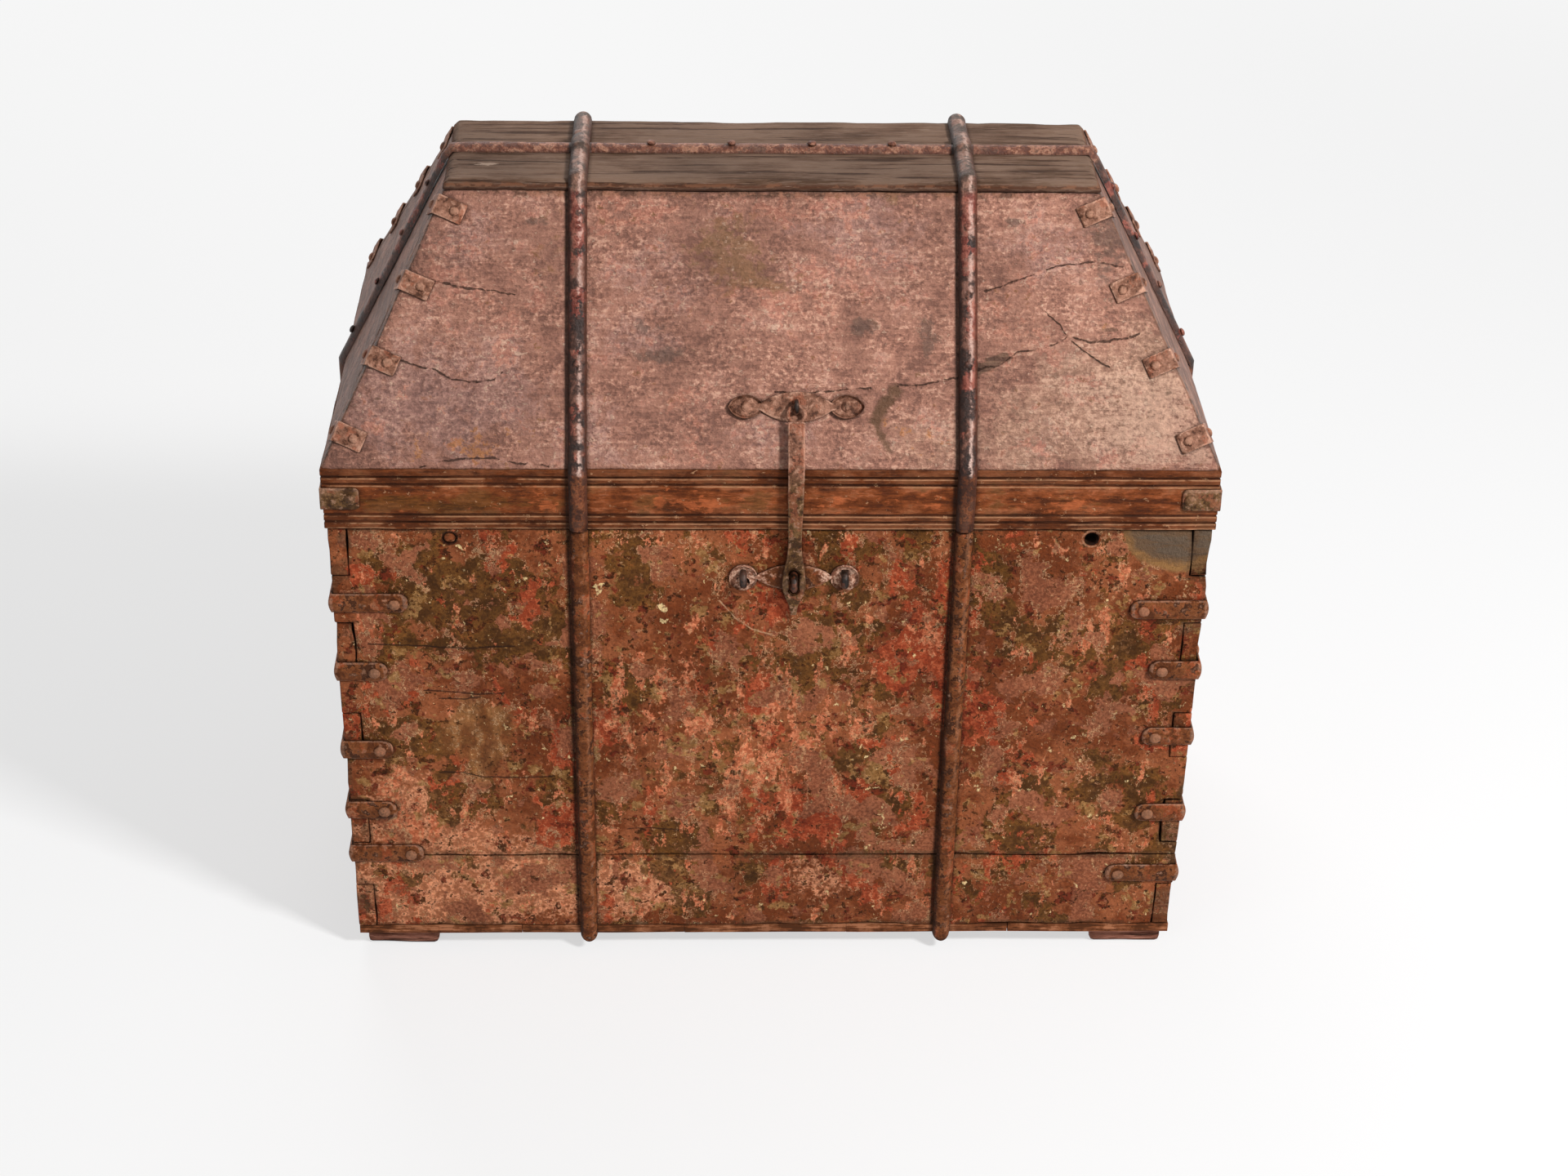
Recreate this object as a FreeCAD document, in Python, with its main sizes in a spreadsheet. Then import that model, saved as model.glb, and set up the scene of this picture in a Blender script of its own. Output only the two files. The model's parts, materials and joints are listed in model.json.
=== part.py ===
import FreeCAD, Part
import math
import os
import re
import Sketcher

# Hipped-lid chest bound with iron, in millimetres, +Z up, front towards -Y.
# The origin is on the floor under the middle of the chest.

Vector = FreeCAD.Vector
Rotation = FreeCAD.Rotation
Placement = FreeCAD.Placement

DRIVING = (
    # lid and box, outside sizes
    ("lid_width", 850),
    ("lid_depth", 446),
    ("lid_overhang", 2),
    ("foot_height", 19),
    ("foot_size", 75),
    ("foot_inset", 6),
    ("bottom_thick", 10),
    ("plank_count", 5),
    ("wall_height", 484),
    ("wall_thick", 18),
    ("lower_board_height", 92),
    ("finger_count", 9),
    ("peg_edge", 116),
    ("peg_drop", 11),
    ("peg_radius", 7),
    ("peg_depth", 12),
    # lid boards
    ("skirt_height", 65),
    ("skirt_thick", 20),
    ("groove_depth", 1.2),
    ("groove_width", 2),
    ("groove_edge", 7),
    ("groove_pitch", 8),
    ("slope_height", 228),
    ("slope_inset_front", 153),
    ("slope_inset_side", 119),
    ("slope_thick", 16),
    ("top_thick", 9),
    ("top_lip", 2),
    # half-round straps
    ("strap_share", 0.2165),
    ("strap_width", 18),
    ("strap_thick", 6),
    ("strap_hook", 40),
    ("strap_end_gap", 1.5),
    ("cross_clearance", 0.3),
    # clips over the corners and hips
    ("clip_thick", 2),
    ("clip_width", 21),
    ("clip_reach_long", 70),
    ("clip_reach_short", 46),
    ("left_clip_first", 400),
    ("left_clip_second", 320),
    ("left_clip_third", 226),
    ("left_clip_fourth", 151),
    ("left_clip_fifth", 96),
    ("right_clip_first", 393),
    ("right_clip_second", 322),
    ("right_clip_third", 242),
    ("right_clip_fourth", 147),
    ("right_clip_fifth", 69),
    ("skirt_clip_height", 34),
    ("skirt_clip_width", 23),
    ("skirt_clip_reach", 35),
    ("hip_clip_width", 20),
    ("hip_clip_reach", 28),
    ("hip_clip_first", 36),
    ("hip_clip_last", 24),
    ("hip_clip_count", 4),
    # hinges
    ("knuckle_radius", 8),
    ("knuckle_length", 9),
    ("knuckle_gap", 0.5),
    ("pin_radius", 4),
    ("pin_clearance", 0.06),
    ("pin_head_thick", 2),
    ("fork_height", 24),
    # hasp and lock
    ("hasp_offset", 22),
    ("plate_thick", 2),
    ("hasp_rise", 60),
    ("hasp_lift", 8),
    ("hasp_gap", 3),
    ("leaf_gap", 0.5),
    ("ring_radius", 8),
    ("ring_wire", 2),
    ("eye_wire", 2),
    ("eye_gap", 1),
    ("bar_thick", 5),
    ("bar_top_width", 16),
    ("bar_low_width", 12.5),
    ("leaf_width", 27),
    ("leaf_drop", 34),
    ("slot_drop", 57),
    ("slot_width", 13),
    ("slot_height", 29),
    ("tip_drop", 94),
    ("lock_drop", 54),
    ("staple_wire", 2.5),
    ("staple_bow", 5.5),
    ("shackle_room", 9),
    ("side_staple_offset", 49),
    ("side_staple_reach", 13),
    ("plate_half", 38),
    ("plate_rise", 14.5),
    ("plate_end_half", 17),
    ("plate_end_rise", 11),
    ("plate_end_offset", 47.5),
    ("lock_lobe", 13.5),
    # nails
    ("nail_head", 4.5),
    ("nail_dome", 2.2),
    ("nail_shank", 1.5),
    ("nail_length", 14),
    ("nail_spacing", 68),
)

DERIVED = (
    ("box_width", "lid_width - 2 * lid_overhang"),
    ("box_depth", "lid_depth - 2 * lid_overhang"),
    ("base_height", "foot_height + bottom_thick"),
    ("peg_offset", "box_width / 2 - peg_edge"),
    ("strap_offset", "lid_width * strap_share"),
    ("rim_height", "base_height + wall_height"),
    ("eave_height", "rim_height + skirt_height"),
    ("top_height", "eave_height + slope_height"),
    ("finger_height", "wall_height / finger_count"),
    ("slope_length", "sqrt(slope_height^2 + slope_inset_front^2)"),
    ("side_length", "sqrt(slope_height^2 + slope_inset_side^2)"),
    ("slope_cosine", "slope_inset_front / slope_length"),
    ("slope_sine", "slope_height / slope_length"),
    ("slope_angle", "atan(slope_height / slope_inset_front)"),
    ("front_run", "slope_thick / slope_sine"),
    ("side_run", "slope_thick * side_length / slope_height"),
    ("panel_height", "slope_height - top_thick"),
    ("panel_part", "panel_height / slope_height"),
    ("hinge_back", "lid_depth / 2 + knuckle_radius + knuckle_gap"),
    ("lid_knuckle_half", "strap_width / 2"),
    ("fork_half", "strap_width / 2 + knuckle_gap + knuckle_length"),
    ("pin_bore", "pin_radius + pin_clearance"),
    ("fork_top", "rim_height - knuckle_radius - 2 * knuckle_gap"),
    ("section_radius", "(strap_width^2 / 4 + strap_thick^2) / (2 * strap_thick)"),
    ("eye_bow", "ring_wire + eye_gap + eye_wire"),
    ("pivot_y", "-lid_depth / 2 + hasp_rise * slope_cosine - hasp_lift * slope_sine"),
    ("pivot_z", "eave_height + hasp_rise * slope_sine + hasp_lift * slope_cosine"),
    ("bar_plane", "-lid_depth / 2 - hasp_gap - bar_thick / 2"),
    ("leaf_plane", "-box_depth / 2 - plate_thick - leaf_gap - bar_thick / 2"),
    ("lock_height", "rim_height - lock_drop"),
    ("lock_straight", "plate_thick + leaf_gap + bar_thick + shackle_room - staple_bow + staple_wire"),
)

doc = FreeCAD.newDocument("chest")
sheet = doc.addObject("Spreadsheet::Sheet", "sizes")
row = 1
for alias, amount in DRIVING:
    sheet.set(f"A{row}", alias)
    sheet.set(f"B{row}", str(amount))
    sheet.setAlias(f"B{row}", alias)
    row += 1
for alias, formula in DERIVED:
    sheet.set(f"A{row}", alias)
    sheet.set(f"B{row}", "=" + formula)
    sheet.setAlias(f"B{row}", alias)
    row += 1
doc.recompute()

ALIASES = {alias for alias, _ in DRIVING + DERIVED}
WORD = re.compile(r"[a-z]+(?:_[a-z]+)*")
SIDES = (("left", -1), ("right", 1))
ENDS = (("front", -1), ("back", 1))
CLIP_ORDER = ("first", "second", "third", "fourth", "fifth")
nodes = []


def size(alias):
    """The value of one cell of the sheet, as a plain number."""
    cell = getattr(sheet, alias)
    return float(getattr(cell, "Value", cell))


def on_sheet(text):
    """An expression with each cell name pointed at the sheet."""
    return WORD.sub(lambda m: "sizes." + m[0] if m[0] in ALIASES else m[0], str(text))


def bind(thing, **expressions):
    """Tie properties of an object to expressions over the sheet."""
    for prop, text in expressions.items():
        thing.setExpression(prop.replace("__", "."), on_sheet(text))
    return thing


def put(thing, x=0, y=0, z=0):
    """Tie an object's place to expressions over the sheet."""
    return bind(thing, Placement__Base__x=x, Placement__Base__y=y, Placement__Base__z=z)


def node(thing, label):
    """Name a finished piece and add it to the list that is written out."""
    thing.Label = label
    nodes.append(thing)
    return thing


def block(name, x, y, z):
    """Rectangular block from three (low, high) pairs of expressions."""
    made = doc.addObject("Part::Box", name)
    for prop, (low, high) in (("Length", x), ("Width", y), ("Height", z)):
        made.setExpression(prop, on_sheet(f"({high}) - ({low})"))
    return put(made, x[0], y[0], z[0])


def frustum(name, z, low, high):
    """Block with a smaller or larger top: each end is ((x0, x1), (y0, y1))."""
    made = doc.addObject("Part::Wedge", name)
    made.Placement = Placement(Vector(), Rotation(Vector(1, 0, 0), 90))
    for tag, (x, y) in (("", low), ("2", high)):
        bind(made, **{f"X{tag}min": x[0], f"X{tag}max": x[1]})
        bind(made, **{f"Z{tag}min": f"-({y[1]})", f"Z{tag}max": f"-({y[0]})"})
    return bind(made, Ymin=z[0], Ymax=z[1])


def rod(name, radius, low, high, axis, x=0, y=0, z=0):
    """Round bar along one axis, between two expressions on that axis."""
    made = doc.addObject("Part::Cylinder", name)
    turn = {"X": (Vector(0, 1, 0), 90), "Y": (Vector(1, 0, 0), -90), "Z": (Vector(0, 0, 1), 0)}[axis]
    made.Placement = Placement(Vector(), Rotation(*turn))
    bind(made, Radius=radius, Height=f"({high}) - ({low})")
    start = {"X": x, "Y": y, "Z": z}
    start[axis] = low
    return put(made, start["X"], start["Y"], start["Z"])


def fuse(name, shapes):
    """Several shapes made one."""
    made = doc.addObject("Part::MultiFuse", name)
    made.Shapes = shapes
    made.Refine = True
    return made


def common(name, shapes):
    """What all the shapes share."""
    made = doc.addObject("Part::MultiCommon", name)
    made.Shapes = shapes
    made.Refine = True
    return made


def cut(name, base, tool):
    """The base without the tool."""
    made = doc.addObject("Part::Cut", name)
    made.Base = base
    made.Tool = tool
    made.Refine = True
    return made


def origin_plane(body, role):
    """One of a body's own three planes."""
    return next(f for f in body.Origin.OriginFeatures if f.Role == role)


def drawing(body, name, role):
    """Empty sketch on one of a body's own planes."""
    sketch = body.newObject("Sketcher::SketchObject", name)
    sketch.AttachmentSupport = [(origin_plane(body, role), "")]
    sketch.MapMode = "FlatFace"
    return sketch


def pin_point(sketch, line, end, across, upward):
    """Hold one end of a line at a place given by two expressions."""
    now = sketch.getPoint(line, end)
    for kind, value, text in (("DistanceX", now.x, across), ("DistanceY", now.y, upward)):
        rule = sketch.addConstraint(Sketcher.Constraint(kind, -1, 1, line, end, value))
        sketch.setExpression(f"Constraints[{rule}]", on_sheet(text))


def draw_lines(sketch, points, closed):
    """Straight lines through points, each a pair of expressions."""
    count = len(points) if closed else len(points) - 1
    for step in range(count):
        sketch.addGeometry(Part.LineSegment(Vector(step, step * step, 0), Vector(step + 1, (step + 1) ** 2, 0)))
    for step in range(count - 1):
        sketch.addConstraint(Sketcher.Constraint("Coincident", step, 2, step + 1, 1))
    if closed:
        sketch.addConstraint(Sketcher.Constraint("Coincident", count - 1, 2, 0, 1))
    for step in range(count):
        pin_point(sketch, step, 1, *points[step])
    if not closed:
        pin_point(sketch, count - 1, 2, *points[-1])
    return sketch


def plate_from(name, role, points, width):
    """Outline on one of the body's planes, padded evenly to both sides."""
    body = doc.addObject("PartDesign::Body", name)
    sketch = draw_lines(drawing(body, name + "_outline", role), points, True)
    pad = body.newObject("PartDesign::Pad", name + "_pad")
    pad.Profile = sketch
    pad.SideType = "Symmetric"
    bind(pad, Length=width)
    return body


def strap(name, role, points, turn):
    """Half-round bar laid with its flat side along a path that starts up or down."""
    body = doc.addObject("PartDesign::Body", name)
    path = draw_lines(drawing(body, name + "_path", role), points, False)
    section = drawing(body, name + "_section", "XY_Plane")
    section.AttachmentOffset = Placement(Vector(), Rotation(Vector(0, 0, 1), turn))
    along = "AttachmentOffset.Base." + ("y" if role == "YZ_Plane" else "x")
    section.setExpression(along, on_sheet(points[0][0]))
    section.setExpression("AttachmentOffset.Base.z", on_sheet(points[0][1]))
    half, radius = size("strap_width") / 2, size("section_radius")
    middle = Vector(0, radius - size("strap_thick"), 0)
    lean = math.asin(half / radius)
    circle = Part.Circle(middle, Vector(0, 0, 1), radius)
    section.addGeometry(Part.LineSegment(Vector(-half, 0, 0), Vector(half, 0, 0)))
    section.addGeometry(Part.ArcOfCircle(circle, 1.5 * math.pi - lean, 1.5 * math.pi + lean))
    section.addConstraint(Sketcher.Constraint("Coincident", 0, 1, 1, 1))
    section.addConstraint(Sketcher.Constraint("Coincident", 0, 2, 1, 2))
    pin_point(section, 0, 1, "-strap_width / 2", "0")
    pin_point(section, 0, 2, "strap_width / 2", "0")
    rule = section.addConstraint(Sketcher.Constraint("Radius", 1, radius))
    section.setExpression(f"Constraints[{rule}]", "sizes.section_radius")
    pipe = body.newObject("PartDesign::AdditivePipe", name + "_bar")
    pipe.Profile = section
    pipe.Spine = (path, [f"Edge{step + 1}" for step in range(len(points) - 1)])
    pipe.Transition = "Right corner"
    return body


def make_walls():
    """Four finger-jointed walls, each of an upper and a lower board."""
    across = ("-box_width / 2", "box_width / 2")
    deep = ("-box_depth / 2", "box_depth / 2")
    tall = ("base_height", "rim_height")
    ends = {
        "left": ("-box_width / 2", "-box_width / 2 + wall_thick"),
        "right": ("box_width / 2 - wall_thick", "box_width / 2"),
        "front": ("-box_depth / 2", "-box_depth / 2 + wall_thick"),
        "back": ("box_depth / 2 - wall_thick", "box_depth / 2"),
    }
    posts = fuse("corner_posts", [block(f"post_{side}_{end}", ends[side], ends[end], tall)
                                  for side, _ in SIDES for end, _ in ENDS])
    layers = {0: [], 1: []}
    for step in range(int(size("finger_count"))):
        low = f"base_height + {step} * finger_height"
        layers[step % 2].append(block(f"finger_layer_{step}", across, deep, (low, low + " + finger_height")))
    side_fingers = common("side_fingers", [posts, fuse("side_layers", layers[0])])
    front_fingers = common("front_fingers", [posts, fuse("front_layers", layers[1])])
    seam = "base_height + lower_board_height"
    zones = {
        "lower": block("lower_zone", across, deep, ("base_height", seam)),
        "upper": block("upper_zone", across, deep, (seam, "rim_height")),
    }
    peg_holes = fuse("peg_holes", [
        rod(f"peg_hole_{side}", "peg_radius", "-box_depth / 2", "-box_depth / 2 + peg_depth", "Y",
            x=f"{sign} * peg_offset", z="rim_height - peg_drop") for side, sign in SIDES])
    walls = {
        "front": cut("front_wall", block("front_blank", across, ends["front"], tall),
                     fuse("front_cuts", [side_fingers, peg_holes])),
        "back": cut("back_wall", block("back_blank", across, ends["back"], tall), side_fingers),
        "left": cut("left_wall", block("left_blank", ends["left"], deep, tall), front_fingers),
        "right": cut("right_wall", block("right_blank", ends["right"], deep, tall), front_fingers),
    }
    for wall, whole in walls.items():
        for zone, space in zones.items():
            node(common(f"{wall}_{zone}", [whole, space]), f"{wall}_{zone}_board")
    node(rod("plug", "peg_radius", "-box_depth / 2", "-box_depth / 2 + peg_depth", "Y",
             x="-peg_offset", z="rim_height - peg_drop"), "hole_plug")


def make_bottom():
    """Planks under the walls, and the block feet under the planks."""
    count = int(size("plank_count"))
    deep = ("-box_depth / 2", "box_depth / 2")
    for step in range(count):
        low = f"-box_width / 2 + {step} * box_width / {count}"
        node(block(f"plank_{step}", (low, f"{low} + box_width / {count}"), deep, ("foot_height", "base_height")),
             f"bottom_plank_{step + 1}")
    for side, sign in SIDES:
        for end, way in ENDS:
            outer = f"{sign} * (box_width / 2 - foot_inset)"
            inner = f"{sign} * (box_width / 2 - foot_inset - foot_size)"
            face = f"{way} * (box_depth / 2 - foot_inset)"
            back = f"{way} * (box_depth / 2 - foot_inset - foot_size)"
            x = (outer, inner) if sign < 0 else (inner, outer)
            y = (face, back) if way < 0 else (back, face)
            node(block(f"foot_{end}_{side}_block", x, y, ("0", "foot_height")), f"foot_{end}_{side}")


def make_box_straps():
    """Half-round straps down the front and back, turned under the bottom."""
    for side, sign in SIDES:
        face = "-box_depth / 2"
        front = strap(f"front_strap_{side}_bar", "YZ_Plane", [
            (face, "rim_height - strap_end_gap"),
            (face, "foot_height"),
            (f"{face} + strap_hook", "foot_height")], 0)
        put(front, f"{sign} * strap_offset")
        node(front, f"front_strap_{side}")
        back = strap(f"hinge_strap_{side}_bar", "YZ_Plane", [
            ("box_depth / 2", "fork_top"),
            ("box_depth / 2", "foot_height"),
            ("box_depth / 2 - strap_hook", "foot_height")], 180)
        put(back, f"{sign} * strap_offset")
        node(make_fork(side, sign, back), f"hinge_strap_{side}")


def make_fork(side, sign, bar):
    """Top of a hinge strap: a cross bar with a knuckle at each end."""
    middle = f"{sign} * strap_offset"
    thick = ("box_depth / 2", "box_depth / 2 + strap_thick")
    parts = [bar, block(f"fork_bar_{side}", (f"{middle} - fork_half", f"{middle} + fork_half"), thick,
                        ("fork_top - fork_height + knuckle_radius", "fork_top"))]
    for way in (-1, 1):
        near = f"{middle} + {way} * (strap_width / 2 + knuckle_gap)"
        far = f"{middle} + {way} * fork_half"
        x = (near, far) if way > 0 else (far, near)
        tag = f"{side}_{'inner' if way * sign < 0 else 'outer'}"
        parts.append(block(f"fork_arm_{tag}", x, thick, ("fork_top", "rim_height - knuckle_gap")))
        parts.append(rod(f"fork_knuckle_{tag}", "knuckle_radius", *x, "X", y="hinge_back", z="rim_height"))
    whole = fuse(f"fork_{side}", parts)
    bore = rod(f"fork_bore_{side}", "pin_bore", f"{middle} - fork_half", f"{middle} + fork_half", "X",
               y="hinge_back", z="rim_height")
    return cut(f"hinge_strap_{side}_cut", whole, bore)


def make_hinge_pins():
    """Pin through each hinge, headed at both ends."""
    for side, sign in SIDES:
        middle = f"{sign} * strap_offset"
        low, high = f"{middle} - fork_half", f"{middle} + fork_half"
        at = {"y": "hinge_back", "z": "rim_height"}
        shaft = rod(f"pin_shaft_{side}", "pin_radius", f"{low} - pin_head_thick", f"{high} + pin_head_thick",
                    "X", **at)
        head_radius = "(pin_radius + knuckle_radius) / 2"
        left = rod(f"pin_head_low_{side}", head_radius, f"{low} - pin_head_thick", low, "X", **at)
        right = rod(f"pin_head_high_{side}", head_radius, high, f"{high} + pin_head_thick", "X", **at)
        node(fuse(f"pin_{side}", [shaft, left, right]), f"hinge_pin_{side}")


def make_corner_clips():
    """Iron clips bent round the box corners, at their own heights on each side."""
    tall = ("base_height", "rim_height")
    inside = block("box_solid", ("-box_width / 2", "box_width / 2"), ("-box_depth / 2", "box_depth / 2"), tall)
    outside = block("clip_solid", ("-box_width / 2 - clip_thick", "box_width / 2 + clip_thick"),
                    ("-box_depth / 2 - clip_thick", "box_depth / 2 + clip_thick"), tall)
    shell = cut("clip_shell", outside, inside)
    for side, sign in SIDES:
        for end, way in ENDS:
            places = []
            for step, word in enumerate(CLIP_ORDER):
                reach = "clip_reach_long" if step in (0, len(CLIP_ORDER) - 1) else "clip_reach_short"
                outer = f"{sign} * (box_width / 2 + clip_thick)"
                inner = f"{sign} * (box_width / 2 - {reach})"
                face = f"{way} * (box_depth / 2 + clip_thick)"
                back = f"{way} * (box_depth / 2 - {reach})"
                low = f"base_height + {side}_clip_{word} - clip_width / 2"
                places.append(block(f"clip_{side}_{end}_{word}",
                                    (outer, inner) if sign < 0 else (inner, outer),
                                    (face, back) if way < 0 else (back, face),
                                    (low, low + " + clip_width")))
            group = common(f"clips_{end}_{side}", [shell, fuse(f"clip_places_{end}_{side}", places)])
            node(group, f"corner_clips_{end}_{side}")


def make_skirt():
    """Four mitred boards with two pairs of scratched grooves round the lid's foot."""
    tall = ("rim_height", "eave_height")
    half_x, half_y = "lid_width / 2", "lid_depth / 2"
    heights = ("groove_edge", "groove_edge + groove_pitch",
               "skirt_height - groove_edge - groove_width",
               "skirt_height - groove_edge - groove_pitch - groove_width")
    slices = []
    for step, height in enumerate(heights):
        low = f"rim_height + {height}"
        slices.append(block(f"groove_slice_{step}", (f"-{half_x}", half_x), (f"-{half_y}", half_y),
                            (low, low + " + groove_width")))
    core = block("groove_core", (f"-{half_x} + groove_depth", f"{half_x} - groove_depth"),
                 (f"-{half_y} + groove_depth", f"{half_y} - groove_depth"), tall)
    grooves = cut("grooves", fuse("groove_slices", slices), core)
    for end, way in ENDS:
        board = doc.addObject("Part::Wedge", f"skirt_{end}_blank")
        wide, narrow = half_x, f"{half_x} - skirt_thick"
        near, far = (wide, narrow) if way < 0 else (narrow, wide)
        bind(board, Xmin=f"-({near})", Xmax=near, X2min=f"-({far})", X2max=far,
             Ymin=f"-{half_y}" if way < 0 else f"{half_y} - skirt_thick",
             Ymax=f"-{half_y} + skirt_thick" if way < 0 else half_y,
             Zmin=tall[0], Zmax=tall[1], Z2min=tall[0], Z2max=tall[1])
        node(cut(f"skirt_{end}_cut", board, grooves), f"skirt_{end}")
    for side, sign in SIDES:
        board = doc.addObject("Part::Wedge", f"skirt_{side}_blank")
        board.Placement = Placement(Vector(), Rotation(Vector(0, 0, 1), -90))
        wide, narrow = half_y, f"{half_y} - skirt_thick"
        near, far = (wide, narrow) if sign < 0 else (narrow, wide)
        bind(board, Xmin=f"-({near})", Xmax=near, X2min=f"-({far})", X2max=far,
             Ymin=f"-{half_x}" if sign < 0 else f"{half_x} - skirt_thick",
             Ymax=f"-{half_x} + skirt_thick" if sign < 0 else half_x,
             Zmin=tall[0], Zmax=tall[1], Z2min=tall[0], Z2max=tall[1])
        node(cut(f"skirt_{side}_cut", board, grooves), f"skirt_{side}")


def make_slopes():
    """Front and back slopes reach the hips; the side slopes fit between them."""
    tall = ("eave_height", "eave_height + panel_height")
    foot_x, foot_y = "lid_width / 2", "lid_depth / 2"
    head_x = "(lid_width / 2 - slope_inset_side * panel_part)"
    head_y = "(lid_depth / 2 - slope_inset_front * panel_part)"
    node(frustum("slope_front_board", tall,
                 ((f"-{foot_x}", foot_x), (f"-{foot_y}", f"-{foot_y} + front_run")),
                 ((f"-{head_x}", head_x), (f"-{head_y}", f"-{head_y} + front_run"))), "slope_front")
    node(frustum("slope_back_board", tall,
                 ((f"-{foot_x}", foot_x), (f"{foot_y} - front_run", foot_y)),
                 ((f"-{head_x}", head_x), (f"{head_y} - front_run", head_y))), "slope_back")
    foot_span = (f"-{foot_y} + front_run", f"{foot_y} - front_run")
    head_span = (f"-{head_y} + front_run", f"{head_y} - front_run")
    node(frustum("slope_left_board", tall,
                 ((f"-{foot_x}", f"-{foot_x} + side_run"), foot_span),
                 ((f"-{head_x}", f"-{head_x} + side_run"), head_span)), "slope_left")
    node(frustum("slope_right_board", tall,
                 ((f"{foot_x} - side_run", foot_x), foot_span),
                 ((f"{head_x} - side_run", head_x), head_span)), "slope_right")
    lip_x, lip_y = f"({head_x} + top_lip)", f"({head_y} + top_lip)"
    end_x = "(lid_width / 2 - slope_inset_side)"
    end_y = "(lid_depth / 2 - slope_inset_front)"
    node(frustum("top_plank", ("eave_height + panel_height", "top_height"),
                 ((f"-{lip_x}", lip_x), (f"-{lip_y}", lip_y)),
                 ((f"-{end_x}", end_x), (f"-{end_y}", end_y))), "top_board")


def make_lid_straps():
    """Ridge strap along the top, and two cross straps over it with a hinge knuckle each."""
    foot, edge, end_gap = "lid_depth / 2", "(lid_depth / 2 - slope_inset_front)", "rim_height + strap_end_gap"
    foot_x, edge_x = "lid_width / 2", "(lid_width / 2 - slope_inset_side)"
    lip = "(eave_height + panel_height)"
    head = "(lid_depth / 2 - slope_inset_front * panel_part)"
    head_x = "(lid_width / 2 - slope_inset_side * panel_part)"
    ridge = strap("ridge_bar", "XZ_Plane", [
        (f"-{foot_x}", end_gap), (f"-{foot_x}", "eave_height"), (f"-{head_x} - top_lip", lip),
        (f"-{edge_x}", "top_height"), (edge_x, "top_height"),
        (f"{head_x} + top_lip", lip), (foot_x, "eave_height"), (foot_x, end_gap)], -90)
    node(ridge, "ridge_strap")
    raised = "top_height + strap_thick + cross_clearance"
    hump = "(strap_width / 2 + cross_clearance)"
    ramp = f"({hump} + strap_thick)"
    for side, sign in SIDES:
        bar = strap(f"lid_strap_{side}_bar", "YZ_Plane", [
            (f"-{foot}", end_gap), (f"-{foot}", "eave_height"), (f"-{head} - top_lip", lip),
            (f"-{edge}", "top_height"), (f"-{ramp}", "top_height"), (f"-{hump}", raised),
            (hump, raised), (ramp, "top_height"), (edge, "top_height"),
            (f"{head} + top_lip", lip), (foot, "eave_height"), (foot, "rim_height")], 0)
        put(bar, f"{sign} * strap_offset")
        middle = f"{sign} * strap_offset"
        x = (f"{middle} - lid_knuckle_half", f"{middle} + lid_knuckle_half")
        at = {"y": "hinge_back", "z": "rim_height"}
        whole = fuse(f"lid_strap_{side}_whole", [bar, rod(f"lid_knuckle_{side}", "knuckle_radius", *x, "X", **at)])
        bore = rod(f"lid_bore_{side}", "pin_bore", *x, "X", **at)
        node(cut(f"lid_strap_{side}_cut", whole, bore), f"lid_strap_{side}")


def lid_solid(name, grow):
    """The lid's outside above the skirt, grown outwards by a thickness."""
    out_y, out_x = f"({grow}) / slope_sine", f"({grow}) * side_length / slope_height"
    foot_x, foot_y = f"(lid_width / 2 + {out_x})", f"(lid_depth / 2 + {out_y})"
    head_x = f"(lid_width / 2 - slope_inset_side * panel_part + {out_x})"
    head_y = f"(lid_depth / 2 - slope_inset_front * panel_part + {out_y})"
    return frustum(name, ("eave_height", "eave_height + panel_height"),
                   ((f"-{foot_x}", foot_x), (f"-{foot_y}", foot_y)),
                   ((f"-{head_x}", head_x), (f"-{head_y}", head_y)))


def hip_places():
    """Share of the slope's length at which each hip clip sits, from the eave up."""
    count = int(size("hip_clip_count"))
    first = size("hip_clip_first") / size("slope_length")
    last = 1 - size("hip_clip_last") / size("slope_length")
    return [first + (last - first) * step / (count - 1) for step in range(count)]


def make_hip_clips():
    """Iron clips bent over the four hips of the lid."""
    shell = cut("hip_shell", lid_solid("hip_outside", "clip_thick"), lid_solid("hip_inside", "0"))
    hip_length = "sqrt(slope_inset_side^2 + slope_inset_front^2 + slope_height^2)"
    for side, sign in SIDES:
        for end, way in ENDS:
            places = []
            for step, share in enumerate(hip_places()):
                ring = doc.addObject("Part::Cylinder", f"hip_ring_{end}_{side}_{step}")
                run = Vector(-sign * size("slope_inset_side"), -way * size("slope_inset_front"), size("slope_height"))
                ring.Placement = Placement(Vector(), Rotation(Vector(0, 0, 1), run))
                bind(ring, Radius="hip_clip_reach", Height="hip_clip_width")
                along = f"({share} - hip_clip_width / 2 / {hip_length})"
                put(ring, f"{sign} * (lid_width / 2 - slope_inset_side * {along})",
                    f"{way} * (lid_depth / 2 - slope_inset_front * {along})",
                    f"eave_height + slope_height * {along}")
                places.append(ring)
            group = common(f"hips_{end}_{side}", [shell, fuse(f"hip_rings_{end}_{side}", places)])
            node(group, f"hip_clips_{end}_{side}")


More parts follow.
